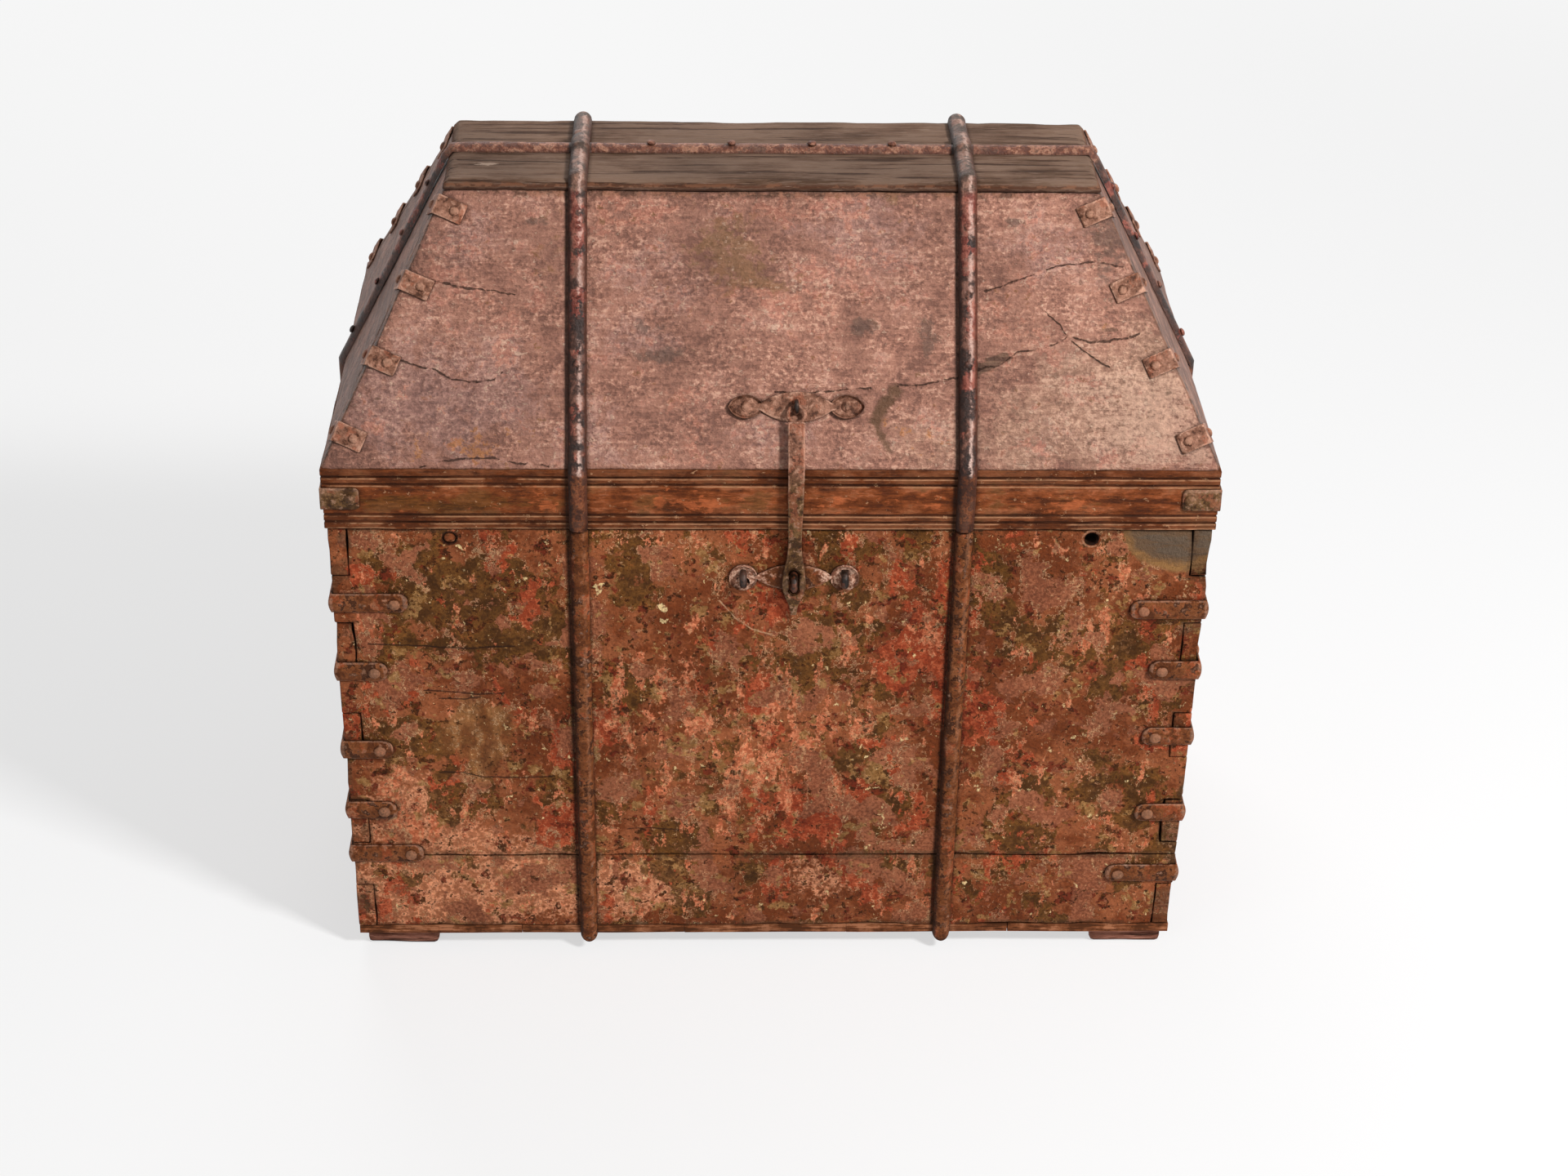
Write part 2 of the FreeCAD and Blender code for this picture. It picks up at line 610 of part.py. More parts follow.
def make_skirt_clips():
    """One clip round each corner of the skirt."""
    low = "rim_height + skirt_clip_height - skirt_clip_width / 2"
    tall = (low, low + " + skirt_clip_width")
    inside = block("skirt_solid", ("-lid_width / 2", "lid_width / 2"), ("-lid_depth / 2", "lid_depth / 2"), tall)
    outside = block("skirt_clip_solid", ("-lid_width / 2 - clip_thick", "lid_width / 2 + clip_thick"),
                    ("-lid_depth / 2 - clip_thick", "lid_depth / 2 + clip_thick"), tall)
    places = []
    for side, sign in SIDES:
        for end, way in ENDS:
            outer, inner = f"{sign} * (lid_width / 2 + clip_thick)", f"{sign} * (lid_width / 2 - skirt_clip_reach)"
            face, back = f"{way} * (lid_depth / 2 + clip_thick)", f"{way} * (lid_depth / 2 - skirt_clip_reach)"
            places.append(block(f"skirt_clip_{side}_{end}",
                                (outer, inner) if sign < 0 else (inner, outer),
                                (face, back) if way < 0 else (back, face), tall))
    shell = cut("skirt_clip_shell", outside, inside)
    node(common("skirt_clip_set", [shell, fuse("skirt_clip_places", places)]), "skirt_clips")


def lens(name, half, rise, middle):
    """Pointed oval plate, lying flat, between two arcs."""
    arc = f"(({half})^2 + ({rise})^2) / (2 * {rise})"
    low = rod(name + "_low", arc, "0", "plate_thick", "Z", x=middle, y=f"{rise} - {arc}")
    high = rod(name + "_high", arc, "0", "plate_thick", "Z", x=middle, y=f"{arc} - {rise}")
    return common(name, [low, high])


def staple(name, wire, bow, straight, leg, x="0", y="0"):
    """Bent round bar standing on a plate: two legs into the wood and a half-round bow."""
    ring = doc.addObject("Part::Torus", name + "_bow")
    ring.Placement = Placement(Vector(), Rotation(Vector(0, 1, 0), Vector(0, 0, 1), Vector(1, 0, 0), "XYZ"))
    ring.Angle3 = 180
    bind(ring, Radius1=bow, Radius2=wire)
    put(ring, x, y, straight)
    legs = [rod(f"{name}_leg_{word}", wire, f"-({leg})", straight, "Z", x=x, y=f"{y} + {way} * {bow}")
            for word, way in (("low", -1), ("high", 1))]
    return fuse(name, [ring] + legs)


def set_on_slope(thing):
    """Move a fitting from its own flat drawing to its place on the front slope."""
    thing.Placement = Placement(Vector(), Rotation(Vector(1, 0, 0), 45))
    thing.setExpression("Placement.Rotation.Angle", "sizes.slope_angle")
    return put(thing, "hasp_offset", "-lid_depth / 2 + hasp_rise * slope_cosine",
               "eave_height + hasp_rise * slope_sine")


def set_on_front(thing):
    """Move a fitting from its own flat drawing to its place on the box front."""
    thing.Placement = Placement(Vector(), Rotation(Vector(1, 0, 0), 90))
    return put(thing, "hasp_offset", "-box_depth / 2", "lock_height")


def make_lock():
    """Hasp plate and eye staple on the lid, lock plate and three staples on the box."""
    ends = [lens(f"plate_end_{side}", "plate_end_half", "plate_end_rise", f"{sign} * plate_end_offset")
            for side, sign in SIDES]
    whole = fuse("hasp_plate_whole", [lens("plate_middle", "plate_half", "plate_rise", "0")] + ends)
    eye_legs = [rod(f"eye_hole_{word}", "eye_wire", "0", "plate_thick", "Z", y=f"{way} * eye_bow")
                for word, way in (("low", -1), ("high", 1))]
    plate = cut("hasp_plate_cut", whole, fuse("eye_holes", eye_legs))
    node(set_on_slope(plate), "hasp_plate")
    eye = staple("eye_staple", "eye_wire", "eye_bow", "hasp_lift", "slope_thick - 2 * eye_wire")
    node(set_on_slope(eye), "hasp_eye_staple")
    lobes = [rod(f"lock_lobe_{side}", "lock_lobe", "0", "plate_thick", "Z", x=f"{sign} * side_staple_offset")
             for side, sign in SIDES]
    blank = fuse("lock_plate_whole", [lens("lock_middle", "plate_half", "plate_rise", "0")] + lobes)
    places = {"lock_staple": "0", "side_staple_left": "-side_staple_offset", "side_staple_right": "side_staple_offset"}
    holes = [rod(f"{name}_hole_{word}", "staple_wire", "0", "plate_thick", "Z", x=x, y=f"{way} * staple_bow")
             for name, x in places.items() for word, way in (("low", -1), ("high", 1))]
    node(set_on_front(cut("lock_plate_cut", blank, fuse("staple_holes", holes))), "lock_plate")
    for name, x in places.items():
        straight = "lock_straight" if name == "lock_staple" else "side_staple_reach - staple_bow - staple_wire"
        made = staple(name + "_wire", "staple_wire", "staple_bow", straight, "wall_thick - staple_wire", x)
        node(set_on_front(made), name)


def slope_point(rise, lift):
    """Place on the front slope: so far up from the eave, so far out from the wood."""
    return (f"-lid_depth / 2 + ({rise}) * slope_cosine - ({lift}) * slope_sine",
            f"eave_height + ({rise}) * slope_sine + ({lift}) * slope_cosine")


def bend_point(plane, lift):
    """Where a line along the slope, so far out from it, meets an upright plane."""
    return (plane, f"eave_height + ({plane} + lid_depth / 2) * slope_sine / slope_cosine + ({lift}) / slope_cosine")


def make_hasp():
    """Forged hasp: a round eye, a bar bent over the eave and a slotted leaf."""
    half = "bar_thick / 2"
    start = "hasp_rise - 2 * ring_radius + ring_wire / 2"
    joggle_top, joggle_low, tip = "rim_height - 4", "rim_height - 12", "rim_height - tip_drop"
    side = plate_from("hasp_side", "YZ_Plane", [
        slope_point(start, f"hasp_lift + {half}"),
        bend_point(f"bar_plane - {half}", f"hasp_lift + {half}"),
        (f"bar_plane - {half}", joggle_top), (f"leaf_plane - {half}", joggle_low), (f"leaf_plane - {half}", tip),
        (f"leaf_plane + {half}", tip), (f"leaf_plane + {half}", joggle_low), (f"bar_plane + {half}", joggle_top),
        bend_point(f"bar_plane + {half}", f"hasp_lift - {half}"),
        slope_point(start, f"hasp_lift - {half}")], "2 * leaf_width")
    put(side, "hasp_offset")
    right = [("bar_top_width / 2", "pivot_z"), ("bar_top_width / 2", "eave_height"),
             ("bar_low_width / 2", "rim_height - leaf_drop / 2"), ("leaf_width / 2", "rim_height - leaf_drop"),
             ("leaf_width / 2", "rim_height - slot_drop - slot_height / 2"),
             ("leaf_width / 3", "rim_height - slot_drop - slot_height / 2 - bar_thick"),
             ("leaf_width / 10", tip)]
    left = [(f"-{across}", upward) for across, upward in reversed(right)]
    face = plate_from("hasp_face", "XZ_Plane", right + left, "2 * lid_depth")
    put(face, "hasp_offset")
    ring = doc.addObject("Part::Torus", "hasp_ring")
    ring.Placement = Placement(Vector(), Rotation(Vector(1, 0, 0), 45))
    ring.setExpression("Placement.Rotation.Angle", "sizes.slope_angle")
    bind(ring, Radius1="ring_radius", Radius2="ring_wire")
    put(ring, "hasp_offset", *slope_point("hasp_rise - ring_radius", "hasp_lift"))
    low, high = "rim_height - slot_drop - slot_height / 2", "rim_height - slot_drop + slot_height / 2"
    deep = (f"leaf_plane - bar_thick", f"leaf_plane + bar_thick")
    middle = block("slot_middle", ("hasp_offset - slot_width / 2", "hasp_offset + slot_width / 2"), deep,
                   (f"{low} + slot_width / 2", f"{high} - slot_width / 2"))
    slot_ends = [rod(f"slot_end_{word}", "slot_width / 2", *deep, "Y", x="hasp_offset", z=z)
                 for word, z in (("low", f"{low} + slot_width / 2"), ("high", f"{high} - slot_width / 2"))]
    bar = fuse("hasp_bar", [common("hasp_blank", [side, face]), ring])
    node(cut("hasp_forged", bar, fuse("slot", [middle] + slot_ends)), "hasp")


def nail_shape():
    """Round-headed nail standing on the XY plane, its shank below."""
    ball = doc.addObject("Part::Sphere", "nail_head_ball")
    round_to = "((nail_head^2 + nail_dome^2) / (2 * nail_dome))"
    bind(ball, Radius=round_to, Angle1=f"asin(({round_to} - nail_dome) / {round_to})")
    ball.Angle2 = 90
    put(ball, z=f"nail_dome - {round_to}")
    shank = rod("nail_shank_rod", "nail_shank", "-nail_length", "nail_dome / 2", "Z")
    return fuse("nail_pattern", [ball, shank])


def nail_group(label, pattern, places):
    """Nails of one kind, each at a point with its head facing along a direction."""
    shapes = []
    for point, facing in places:
        nail = pattern.Shape.copy()
        nail.Placement = Placement(point, Rotation(Vector(0, 0, 1), facing))
        shapes.append(nail)
    group = doc.addObject("Part::Feature", label + "_set")
    group.Shape = Part.makeCompound(shapes)
    group.Placement = Placement()
    node(group, label)


def spread(low, high):
    """Even places between two ends, about one nail spacing apart."""
    count = max(2, round((high - low) / size("nail_spacing")) + 1)
    return [low + (high - low) * step / (count - 1) for step in range(count)]


def slope_facing(end):
    """Outward direction of the front or back slope."""
    return Vector(0, end * size("slope_sine"), size("slope_cosine"))


def side_facing(side):
    """Outward direction of a side slope."""
    length = size("side_length")
    return Vector(side * size("slope_height") / length, 0, size("slope_inset_side") / length)


def box_strap_nails(way):
    """Nails down the straps of the front or the back of the box."""
    margin = size("nail_spacing") / 2
    top = size("rim_height") if way < 0 else size("fork_top") - size("fork_height")
    proud = size("box_depth") / 2 + size("strap_thick")
    return [(Vector(sign * size("strap_offset"), way * proud, height), Vector(0, way, 0))
            for _, sign in SIDES for height in spread(size("base_height") + margin, top - margin)]


def corner_clip_nails():
    """One nail near each end of every box corner clip."""
    places = []
    edge = size("clip_width") / 2
    out_x, out_y = (size(f"box_{word}") / 2 + size("clip_thick") for word in ("width", "depth"))
    for side, sign in SIDES:
        for _, way in ENDS:
            for step, word in enumerate(CLIP_ORDER):
                reach = size("clip_reach_long" if step in (0, len(CLIP_ORDER) - 1) else "clip_reach_short") - edge
                height = size("base_height") + size(f"{side}_clip_{word}")
                near_x, near_y = size("box_width") / 2 - reach, size("box_depth") / 2 - reach
                places.append((Vector(sign * near_x, way * out_y, height), Vector(0, way, 0)))
                places.append((Vector(sign * out_x, way * near_y, height), Vector(sign, 0, 0)))
    return places


def skirt_clip_nails():
    """One nail near each end of every skirt clip."""
    places = []
    height = size("rim_height") + size("skirt_clip_height")
    reach = size("skirt_clip_reach") - size("skirt_clip_width") / 3
    for _, sign in SIDES:
        for _, way in ENDS:
            out_x, out_y = (size(f"lid_{word}") / 2 + size("clip_thick") for word in ("width", "depth"))
            near_x, near_y = size("lid_width") / 2 - reach, size("lid_depth") / 2 - reach
            places.append((Vector(sign * near_x, way * out_y, height), Vector(0, way, 0)))
            places.append((Vector(sign * out_x, way * near_y, height), Vector(sign, 0, 0)))
    return places


def hip_clip_nails():
    """One nail in each leg of every hip clip, square to the hip."""
    places = []
    reach = size("hip_clip_reach") - size("hip_clip_width") / 2
    for _, sign in SIDES:
        for _, way in ENDS:
            run = Vector(-sign * size("slope_inset_side"), -way * size("slope_inset_front"), size("slope_height"))
            for facing in (slope_facing(way), side_facing(sign)):
                inward = facing.cross(run)
                inward.normalize()
                if inward.dot(Vector(-sign, -way, 0)) < 0:
                    inward = inward * -1
                for share in hip_places():
                    hip = Vector(sign * size("lid_width") / 2, way * size("lid_depth") / 2, size("eave_height"))
                    hip = hip + run * share
                    places.append((hip + inward * reach + facing * size("clip_thick"), facing))
    return places


def lid_strap_nails():
    """Nails down the slopes in the cross straps and the ridge strap."""
    places = []
    proud = size("strap_thick")
    margin = size("nail_spacing") / 2
    for _, sign in SIDES:
        for _, way in ENDS:
            facing = slope_facing(way)
            for rise in spread(margin, size("slope_length") * size("panel_part") - margin):
                point = Vector(sign * size("strap_offset"), way * (size("lid_depth") / 2 - rise * size("slope_cosine")),
                               size("eave_height") + rise * size("slope_sine"))
                places.append((point + facing * proud, facing))
        facing = side_facing(sign)
        for rise in spread(margin, size("side_length") * size("panel_part") - margin):
            part = rise / size("side_length")
            point = Vector(sign * (size("lid_width") / 2 - part * size("slope_inset_side")), 0,
                           size("eave_height") + part * size("slope_height"))
            places.append((point + facing * proud, facing))
    for across in spread(-size("strap_offset") + size("nail_spacing"), size("strap_offset") - size("nail_spacing")):
        places.append((Vector(across, 0, size("top_height") + proud), Vector(0, 0, 1)))
    return places


def plate_nails():
    """A nail in each end of the hasp plate."""
    facing = slope_facing(-1)
    middle = Vector(size("hasp_offset"), -size("lid_depth") / 2 + size("hasp_rise") * size("slope_cosine"),
                    size("eave_height") + size("hasp_rise") * size("slope_sine"))
    return [(middle + Vector(sign * size("plate_end_offset"), 0, 0) + facing * size("plate_thick"), facing)
            for _, sign in SIDES]


def plank_nails():
    """Nails up through the bottom planks into the front and back walls, clear of the feet."""
    count = int(size("plank_count"))
    pitch = size("box_width") / count
    inset = (size("box_depth") - size("wall_thick")) / 2
    limit = size("box_width") / 2 - size("foot_inset") - size("foot_size") - 2 * size("nail_head")
    across = [pitch * (step + 0.5 + way * 0.3) - size("box_width") / 2 for step in range(count) for way in (-1, 1)]
    return [(Vector(x, end * inset, size("foot_height")), Vector(0, 0, -1))
            for x in across if abs(x) < limit for _, end in ENDS]


def make_nails():
    """All the nails, in groups by what they hold."""
    pattern = nail_shape()
    doc.recompute()
    nail_group("front_strap_nails", pattern, box_strap_nails(-1))
    nail_group("hinge_strap_nails", pattern, box_strap_nails(1))
    nail_group("corner_clip_nails", pattern, corner_clip_nails())
    nail_group("skirt_clip_nails", pattern, skirt_clip_nails())
    nail_group("hip_clip_nails", pattern, hip_clip_nails())
    nail_group("lid_strap_nails", pattern, lid_strap_nails())
    nail_group("hasp_plate_nails", pattern, plate_nails())
    nail_group("plank_nails", pattern, plank_nails())


def write_out():
    """Check every piece and write it to its own file."""
    doc.recompute()
    for thing in doc.Objects:
        if "Invalid" in thing.State or "Error" in thing.State:
            raise RuntimeError(f"{thing.Label} did not build: {thing.State}")
    os.makedirs("parts", exist_ok=True)
    for thing in nodes:
        shape = thing.Shape
        if shape.isNull() or not shape.isValid() or not shape.Solids:
            raise RuntimeError(f"{thing.Label} has no sound solid")
        shape.exportStep(f"parts/{thing.Label}.step")


make_walls()
make_bottom()
make_box_straps()
make_hinge_pins()
make_corner_clips()
make_skirt()
make_slopes()
make_lid_straps()
make_hip_clips()
make_skirt_clips()
make_lock()
make_hasp()
make_nails()
write_out()
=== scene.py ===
import json
import math
import random

import bmesh
import bpy
from mathutils import Matrix, Vector, noise

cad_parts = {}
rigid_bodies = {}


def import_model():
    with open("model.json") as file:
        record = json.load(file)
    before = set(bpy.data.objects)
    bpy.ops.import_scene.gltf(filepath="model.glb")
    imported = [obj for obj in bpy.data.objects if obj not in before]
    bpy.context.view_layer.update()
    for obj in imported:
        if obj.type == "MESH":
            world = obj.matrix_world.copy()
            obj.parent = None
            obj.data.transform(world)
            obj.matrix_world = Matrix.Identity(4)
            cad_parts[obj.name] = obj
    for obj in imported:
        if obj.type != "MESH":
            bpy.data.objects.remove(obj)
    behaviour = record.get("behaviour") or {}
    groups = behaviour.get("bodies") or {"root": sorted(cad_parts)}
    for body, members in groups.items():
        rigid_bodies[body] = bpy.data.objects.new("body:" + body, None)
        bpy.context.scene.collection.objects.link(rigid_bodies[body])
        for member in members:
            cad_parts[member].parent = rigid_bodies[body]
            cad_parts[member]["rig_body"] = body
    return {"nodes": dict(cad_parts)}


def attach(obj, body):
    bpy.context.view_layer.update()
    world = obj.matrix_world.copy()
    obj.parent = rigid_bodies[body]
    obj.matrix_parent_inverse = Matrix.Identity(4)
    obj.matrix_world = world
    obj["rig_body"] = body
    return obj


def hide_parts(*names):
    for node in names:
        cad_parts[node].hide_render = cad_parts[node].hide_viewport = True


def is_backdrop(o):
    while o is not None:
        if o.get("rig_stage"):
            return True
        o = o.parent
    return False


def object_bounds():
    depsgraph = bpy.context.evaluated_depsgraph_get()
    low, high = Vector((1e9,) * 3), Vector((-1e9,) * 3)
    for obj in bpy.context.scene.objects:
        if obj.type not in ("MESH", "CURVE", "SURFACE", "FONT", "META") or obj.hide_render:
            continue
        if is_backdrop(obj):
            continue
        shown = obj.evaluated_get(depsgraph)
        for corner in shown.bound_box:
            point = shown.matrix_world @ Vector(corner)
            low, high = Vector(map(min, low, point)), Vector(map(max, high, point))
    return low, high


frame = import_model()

# Old painted chest with a hipped lid, bound in iron. Metres, +Z up, front towards -Y.

cad_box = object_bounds()

WALL_X = 0.423
WALL_Y = 0.221
BASE = 0.029
RIM = 0.513
EAVE_X = 0.425
EAVE_Y = 0.223
EAVE = 0.578
TOP = 0.806
UP_FRONT = Vector((0.0, 0.5572, 0.8304))
OUT_FRONT = Vector((0.0, -0.8304, 0.5572))
OUT_SIDE = Vector((0.8865, 0.0, 0.4627))
STRAP_X = 0.184
HASP_X = 0.022


def on_front(x, up):
    """A point of the box front, from millimetres across and up from the foot of the wall."""
    return Vector((x / 1000, -WALL_Y, BASE + up / 1000))


def on_skirt(x, up):
    """A point of the skirt's front, from millimetres across and up from the rim."""
    return Vector((x / 1000, -EAVE_Y, RIM + up / 1000))


def on_slope(x, up):
    """A point of the front slope, from millimetres across and up from the eave."""
    return Vector((x / 1000, -EAVE_Y, EAVE)) + UP_FRONT * (up / 1000)


def on_top(x, back):
    """A point of the top, from millimetres across and back from the front eave."""
    return Vector((x / 1000, -EAVE_Y + back / 1000, TOP))


def over_front(point):
    """Height over the lid's front and back slopes, of a point or of a finish's place."""
    return OUT_FRONT.z * (point.z - EAVE) - OUT_FRONT.y * (abs(point.y) - EAVE_Y)


def over_side(point):
    """Height over the lid's end slopes, of a point or of a finish's place."""
    return OUT_SIDE.z * (point.z - EAVE) + OUT_SIDE.x * (abs(point.x) - EAVE_X)


def tint(colour):
    """A colour for a shader socket: a wire, or red, green and blue as the eye sees them, 0 to 255."""
    def linear(part):
        part /= 255
        return part / 12.92 if part <= 0.04045 else ((part + 0.055) / 1.055) ** 2.4
    return colour if isinstance(colour, Wire) else (*map(linear, colour), 1.0)


# Finishes

NOISE_SPREAD = 18.0  # stretches noise, which gathers about a half, to values mostly from -2 to 2
FLAKE_SPREAD = 3.4   # stretches a flake's even share to values from -1.7 to 1.7
FALL_OFF = 0.3679    # what is left of a soft patch at its half size
ZONE_DEEP = 0.03     # how far a soft patch of an upright face reaches into the wood


class Wire:
    """One output of a finish's nodes. Arithmetic on wires adds the math nodes."""

    def __init__(self, finish, socket):
        self.finish = finish
        self.socket = socket

    def math(self, operation, *terms):
        return self.finish.node("ShaderNodeMath", {"operation": operation}, terms)

    def __add__(self, other):
        return self.math("ADD", self, other)

    def __radd__(self, other):
        return self.math("ADD", other, self)

    def __sub__(self, other):
        return self.math("SUBTRACT", self, other)

    def __rsub__(self, other):
        return self.math("SUBTRACT", other, self)

    def __mul__(self, other):
        return self.math("MULTIPLY", self, other)

    def __rmul__(self, other):
        return self.math("MULTIPLY", other, self)

    def __truediv__(self, other):
        return self.math("DIVIDE", self, other)

    def __rpow__(self, other):
        return self.math("POWER", other, self)

    def __abs__(self):
        return self.math("ABSOLUTE", self)

    def least(self, other):
        return self.math("MINIMUM", self, other)

    def most(self, other):
        return self.math("MAXIMUM", self, other)


class Finish:
    """A surface made of nodes, on the chest's own coordinates."""

    def __init__(self, name):
        self.material = bpy.data.materials.new(name)
        self.material.use_nodes = True
        self.tree = self.material.node_tree
        self.tree.nodes.clear()
        self.place = self.node("ShaderNodeTexCoord", output="Object")
        self.x, self.y, self.z = (self.along(axis) for axis in "XYZ")
        self.colour = None

    def node(self, kind, settings=None, inputs=(), output=0):
        made = self.tree.nodes.new(kind)
        for key, value in (settings or {}).items():
            if key == "stops":
                self.set_stops(made.color_ramp, value)
            else:
                setattr(made, key, value)
        pairs = inputs.items() if isinstance(inputs, dict) else enumerate(inputs)
        for key, value in pairs:
            if isinstance(value, Wire):
                self.tree.links.new(value.socket, made.inputs[key])
            else:
                made.inputs[key].default_value = value
        return Wire(self, made.outputs[output]) if made.outputs else None

    def set_stops(self, ramp, stops):
        while len(ramp.elements) < len(stops):
            ramp.elements.new(1.0)
        for element, (at, colour) in zip(ramp.elements, stops):
            element.position = at
            element.color = colour

    def along(self, axis):
        return self.node("ShaderNodeSeparateXYZ", inputs=[self.place], output=axis)

    def vector(self, operation, *terms, output=0):
        return self.node("ShaderNodeVectorMath", {"operation": operation}, terms, output)

    def cloud(self, size, detail=6, rough=0.6, stretch=(1, 1, 1), seed=0):
        """Uneven patches about size metres across, longer where stretch is small.
        The value is mostly between -2 and 2, about 0."""
        shift = (seed * 1.37, seed * 2.11, seed * 0.73)
        spot = self.vector("MULTIPLY_ADD", self.place, stretch, shift)
        sockets = {"Vector": spot, "Scale": 1 / size, "Detail": detail, "Roughness": rough}
        raw = self.node("ShaderNodeTexNoise", {}, sockets)
        return self.scaled(raw, NOISE_SPREAD, -NOISE_SPREAD / 2)

    def shaken(self, amount, size, seed=0):
        """The coordinates, shaken about so that outlines come out ragged."""
        spot = self.vector("ADD", self.place, (seed * 1.7, seed * 0.9, seed * 2.3))
        sockets = {"Vector": spot, "Scale": 1 / size, "Detail": 4, "Roughness": 0.6}
        swirl = self.node("ShaderNodeTexNoise", {}, sockets, "Color")
        swirl = self.vector("SUBTRACT", swirl, (0.5, 0.5, 0.5))
        return self.vector("MULTIPLY_ADD", swirl, (amount, amount, amount), self.place)

    def flakes(self, size, seed, place):
        """One value for each flake of about size metres, between -1.7 and 1.7."""
        spot = self.vector("ADD", place, (seed * 1.3, seed * 0.7, seed * 2.9))
        cell = self.node("ShaderNodeTexVoronoi", {}, {"Vector": spot, "Scale": 1 / size}, "Color")
        share = self.node("ShaderNodeSeparateColor", {}, [cell])
        return self.scaled(share, FLAKE_SPREAD, -FLAKE_SPREAD / 2)

    def step(self, value, edge, soft=0.02):
        """0 below the edge and 1 above it."""
        sockets = {"Value": value, "From Min": edge - soft, "From Max": edge + soft}
        return self.node("ShaderNodeMapRange", {"interpolation_type": "SMOOTHSTEP"}, sockets)

    def under(self, value, edge, soft=0.02):
        """1 below the edge and 0 above it."""
        return 1 - self.step(value, edge, soft)

    def mix(self, below, above, mask):
        """Two colours, the second where the mask is 1."""
        sockets = {0: mask, 6: tint(below), 7: tint(above)}
        return self.node("ShaderNodeMix", {"data_type": "RGBA"}, sockets, 2)

    def lay(self, colour, mask):
        """Lays a colour over the finish's colour so far, where the mask is 1."""
        self.colour = self.mix(self.colour, colour, mask)

    def coat(self, dark, light, value, edge, soft):
        """A paint that turns from a dark to a light colour where a value rises past the edge."""
        return self.mix(dark, light, self.step(value, edge, soft))

    def scaled(self, value, gain, start):
        """A value times the gain, plus the start."""
        return self.node("ShaderNodeMath", {"operation": "MULTIPLY_ADD"}, [value, gain, start])

    def blend(self, below, above, mask):
        """Two values, the second where the mask is 1."""
        return self.node("ShaderNodeMix", {"data_type": "FLOAT"}, {0: mask, 2: below, 3: above})

    def bands(self, value, *rows, soft=0.06):
        """A colour for each band of a value from -3 to 3: rows are (upper end, colour)."""
        stops = []
        for low, (end, colour) in zip([-3.0] + [row[0] for row in rows], rows):
            stops.append((max(0.0, (low + soft + 3) / 6), tint(colour)))
            stops.append((min(1.0, (end - soft + 3) / 6), tint(colour)))
        return self.node("ShaderNodeValToRGB", {"stops": stops}, [self.scaled(value, 1 / 6, 0.5)])

    def crevice_shade(self, reach=0.0045, edge=0.74):
        """Painted shade: 1 in corners and along the foot of whatever stands on the surface, where less
        light reaches.
        """
        open_air = self.node("ShaderNodeAmbientOcclusion", {"samples": 4}, {"Distance": reach}, "AO")
        return self.under(open_air, edge, 0.20)

    def shade(self, amount, blue=1.0):
        """Makes the colour so far lighter or darker by a wire around 1, and warmer with less blue."""
        grey = self.node("ShaderNodeCombineXYZ", {}, [amount, amount, amount * blue])
        settings = {"data_type": "RGBA", "blend_type": "MULTIPLY"}
        self.colour = self.node("ShaderNodeMix", settings, {0: 1.0, 6: self.colour, 7: grey}, 2)

    def spots(self, centres, place):
        """Soft patches: each centre is (point, half sizes, gain)."""
        total = None
        for point, half, gain in centres:
            inverse = Vector([1 / size for size in half])
            back = Vector([-at / size for at, size in zip(point, half)])
            near = self.vector("MULTIPLY_ADD", place, inverse, back)
            square = self.vector("DOT_PRODUCT", near, near, output="Value")
            patch = gain * FALL_OFF ** square
            total = patch if total is None else total + patch
        return total

    def zones(self, at, place, thin=None):
        """A function for soft patches, from rows of (across, up, half sizes, gain) in millimetres."""
        def zone(*rows, place=place):
            return self.spots([(at(x, up), (wide / 1000, thin or high / 1000, high / 1000), gain)
                               for x, up, wide, high, gain in rows], place)
        return zone

    def gap(self, points, place):
        """Distance from a line through the points."""
        nearest = None
        for start, end in zip(points, points[1:]):
            run = end - start
            away = self.vector("SUBTRACT", place, start)
            share = self.vector("DOT_PRODUCT", away, run / run.length_squared, output="Value")
            share = self.node("ShaderNodeClamp", {}, [share])
            reach = self.node("ShaderNodeVectorMath", {"operation": "SCALE"}, {0: run, "Scale": share})
            rest = self.vector("SUBTRACT", away, reach)
            distance = self.vector("LENGTH", rest, output="Value")
            nearest = distance if nearest is None else nearest.least(distance)
        return nearest

    def nearest_line(self, lines, at, place):
        """Distance from the nearest of several lines, each a row of points for the placing function."""
        nearest = None
        for line in lines:
            near = self.gap([at(*point) for point in line], place)
            nearest = near if nearest is None else nearest.least(near)
        return nearest

    def arris(self):
        """1 on the worn edges of a piece, 0 on its faces."""
        return self.node("ShaderNodeAttribute", {"attribute_name": "arris"}, output="Fac")

    def across_strap(self):
        """Sideways place from the middle of the nearer strap: negative on its left."""
        return self.x - STRAP_X * (self.step(self.x, 0.0, 0.001) * 2 - 1)

    def strap_shadow(self):
        """1 in a painted shadow along a strap's left edge, away from the light."""
        return self.under(abs(self.across_strap() + 0.0106), 0.0016, 0.0016)

    def past_walls(self):
        """How far a place lies outside the walls of the box."""
        return (abs(self.x) - WALL_X).most(abs(self.y) - WALL_Y)

    def past_skirt(self):
        """How far a place lies outside the lid's skirt."""
        return (abs(self.x) - EAVE_X).most(abs(self.y) - EAVE_Y)

    def lid_height(self):
        """Height over the lid's outer faces."""
        return over_front(self).most(over_side(self)).most(self.z - TOP).most(self.past_skirt())

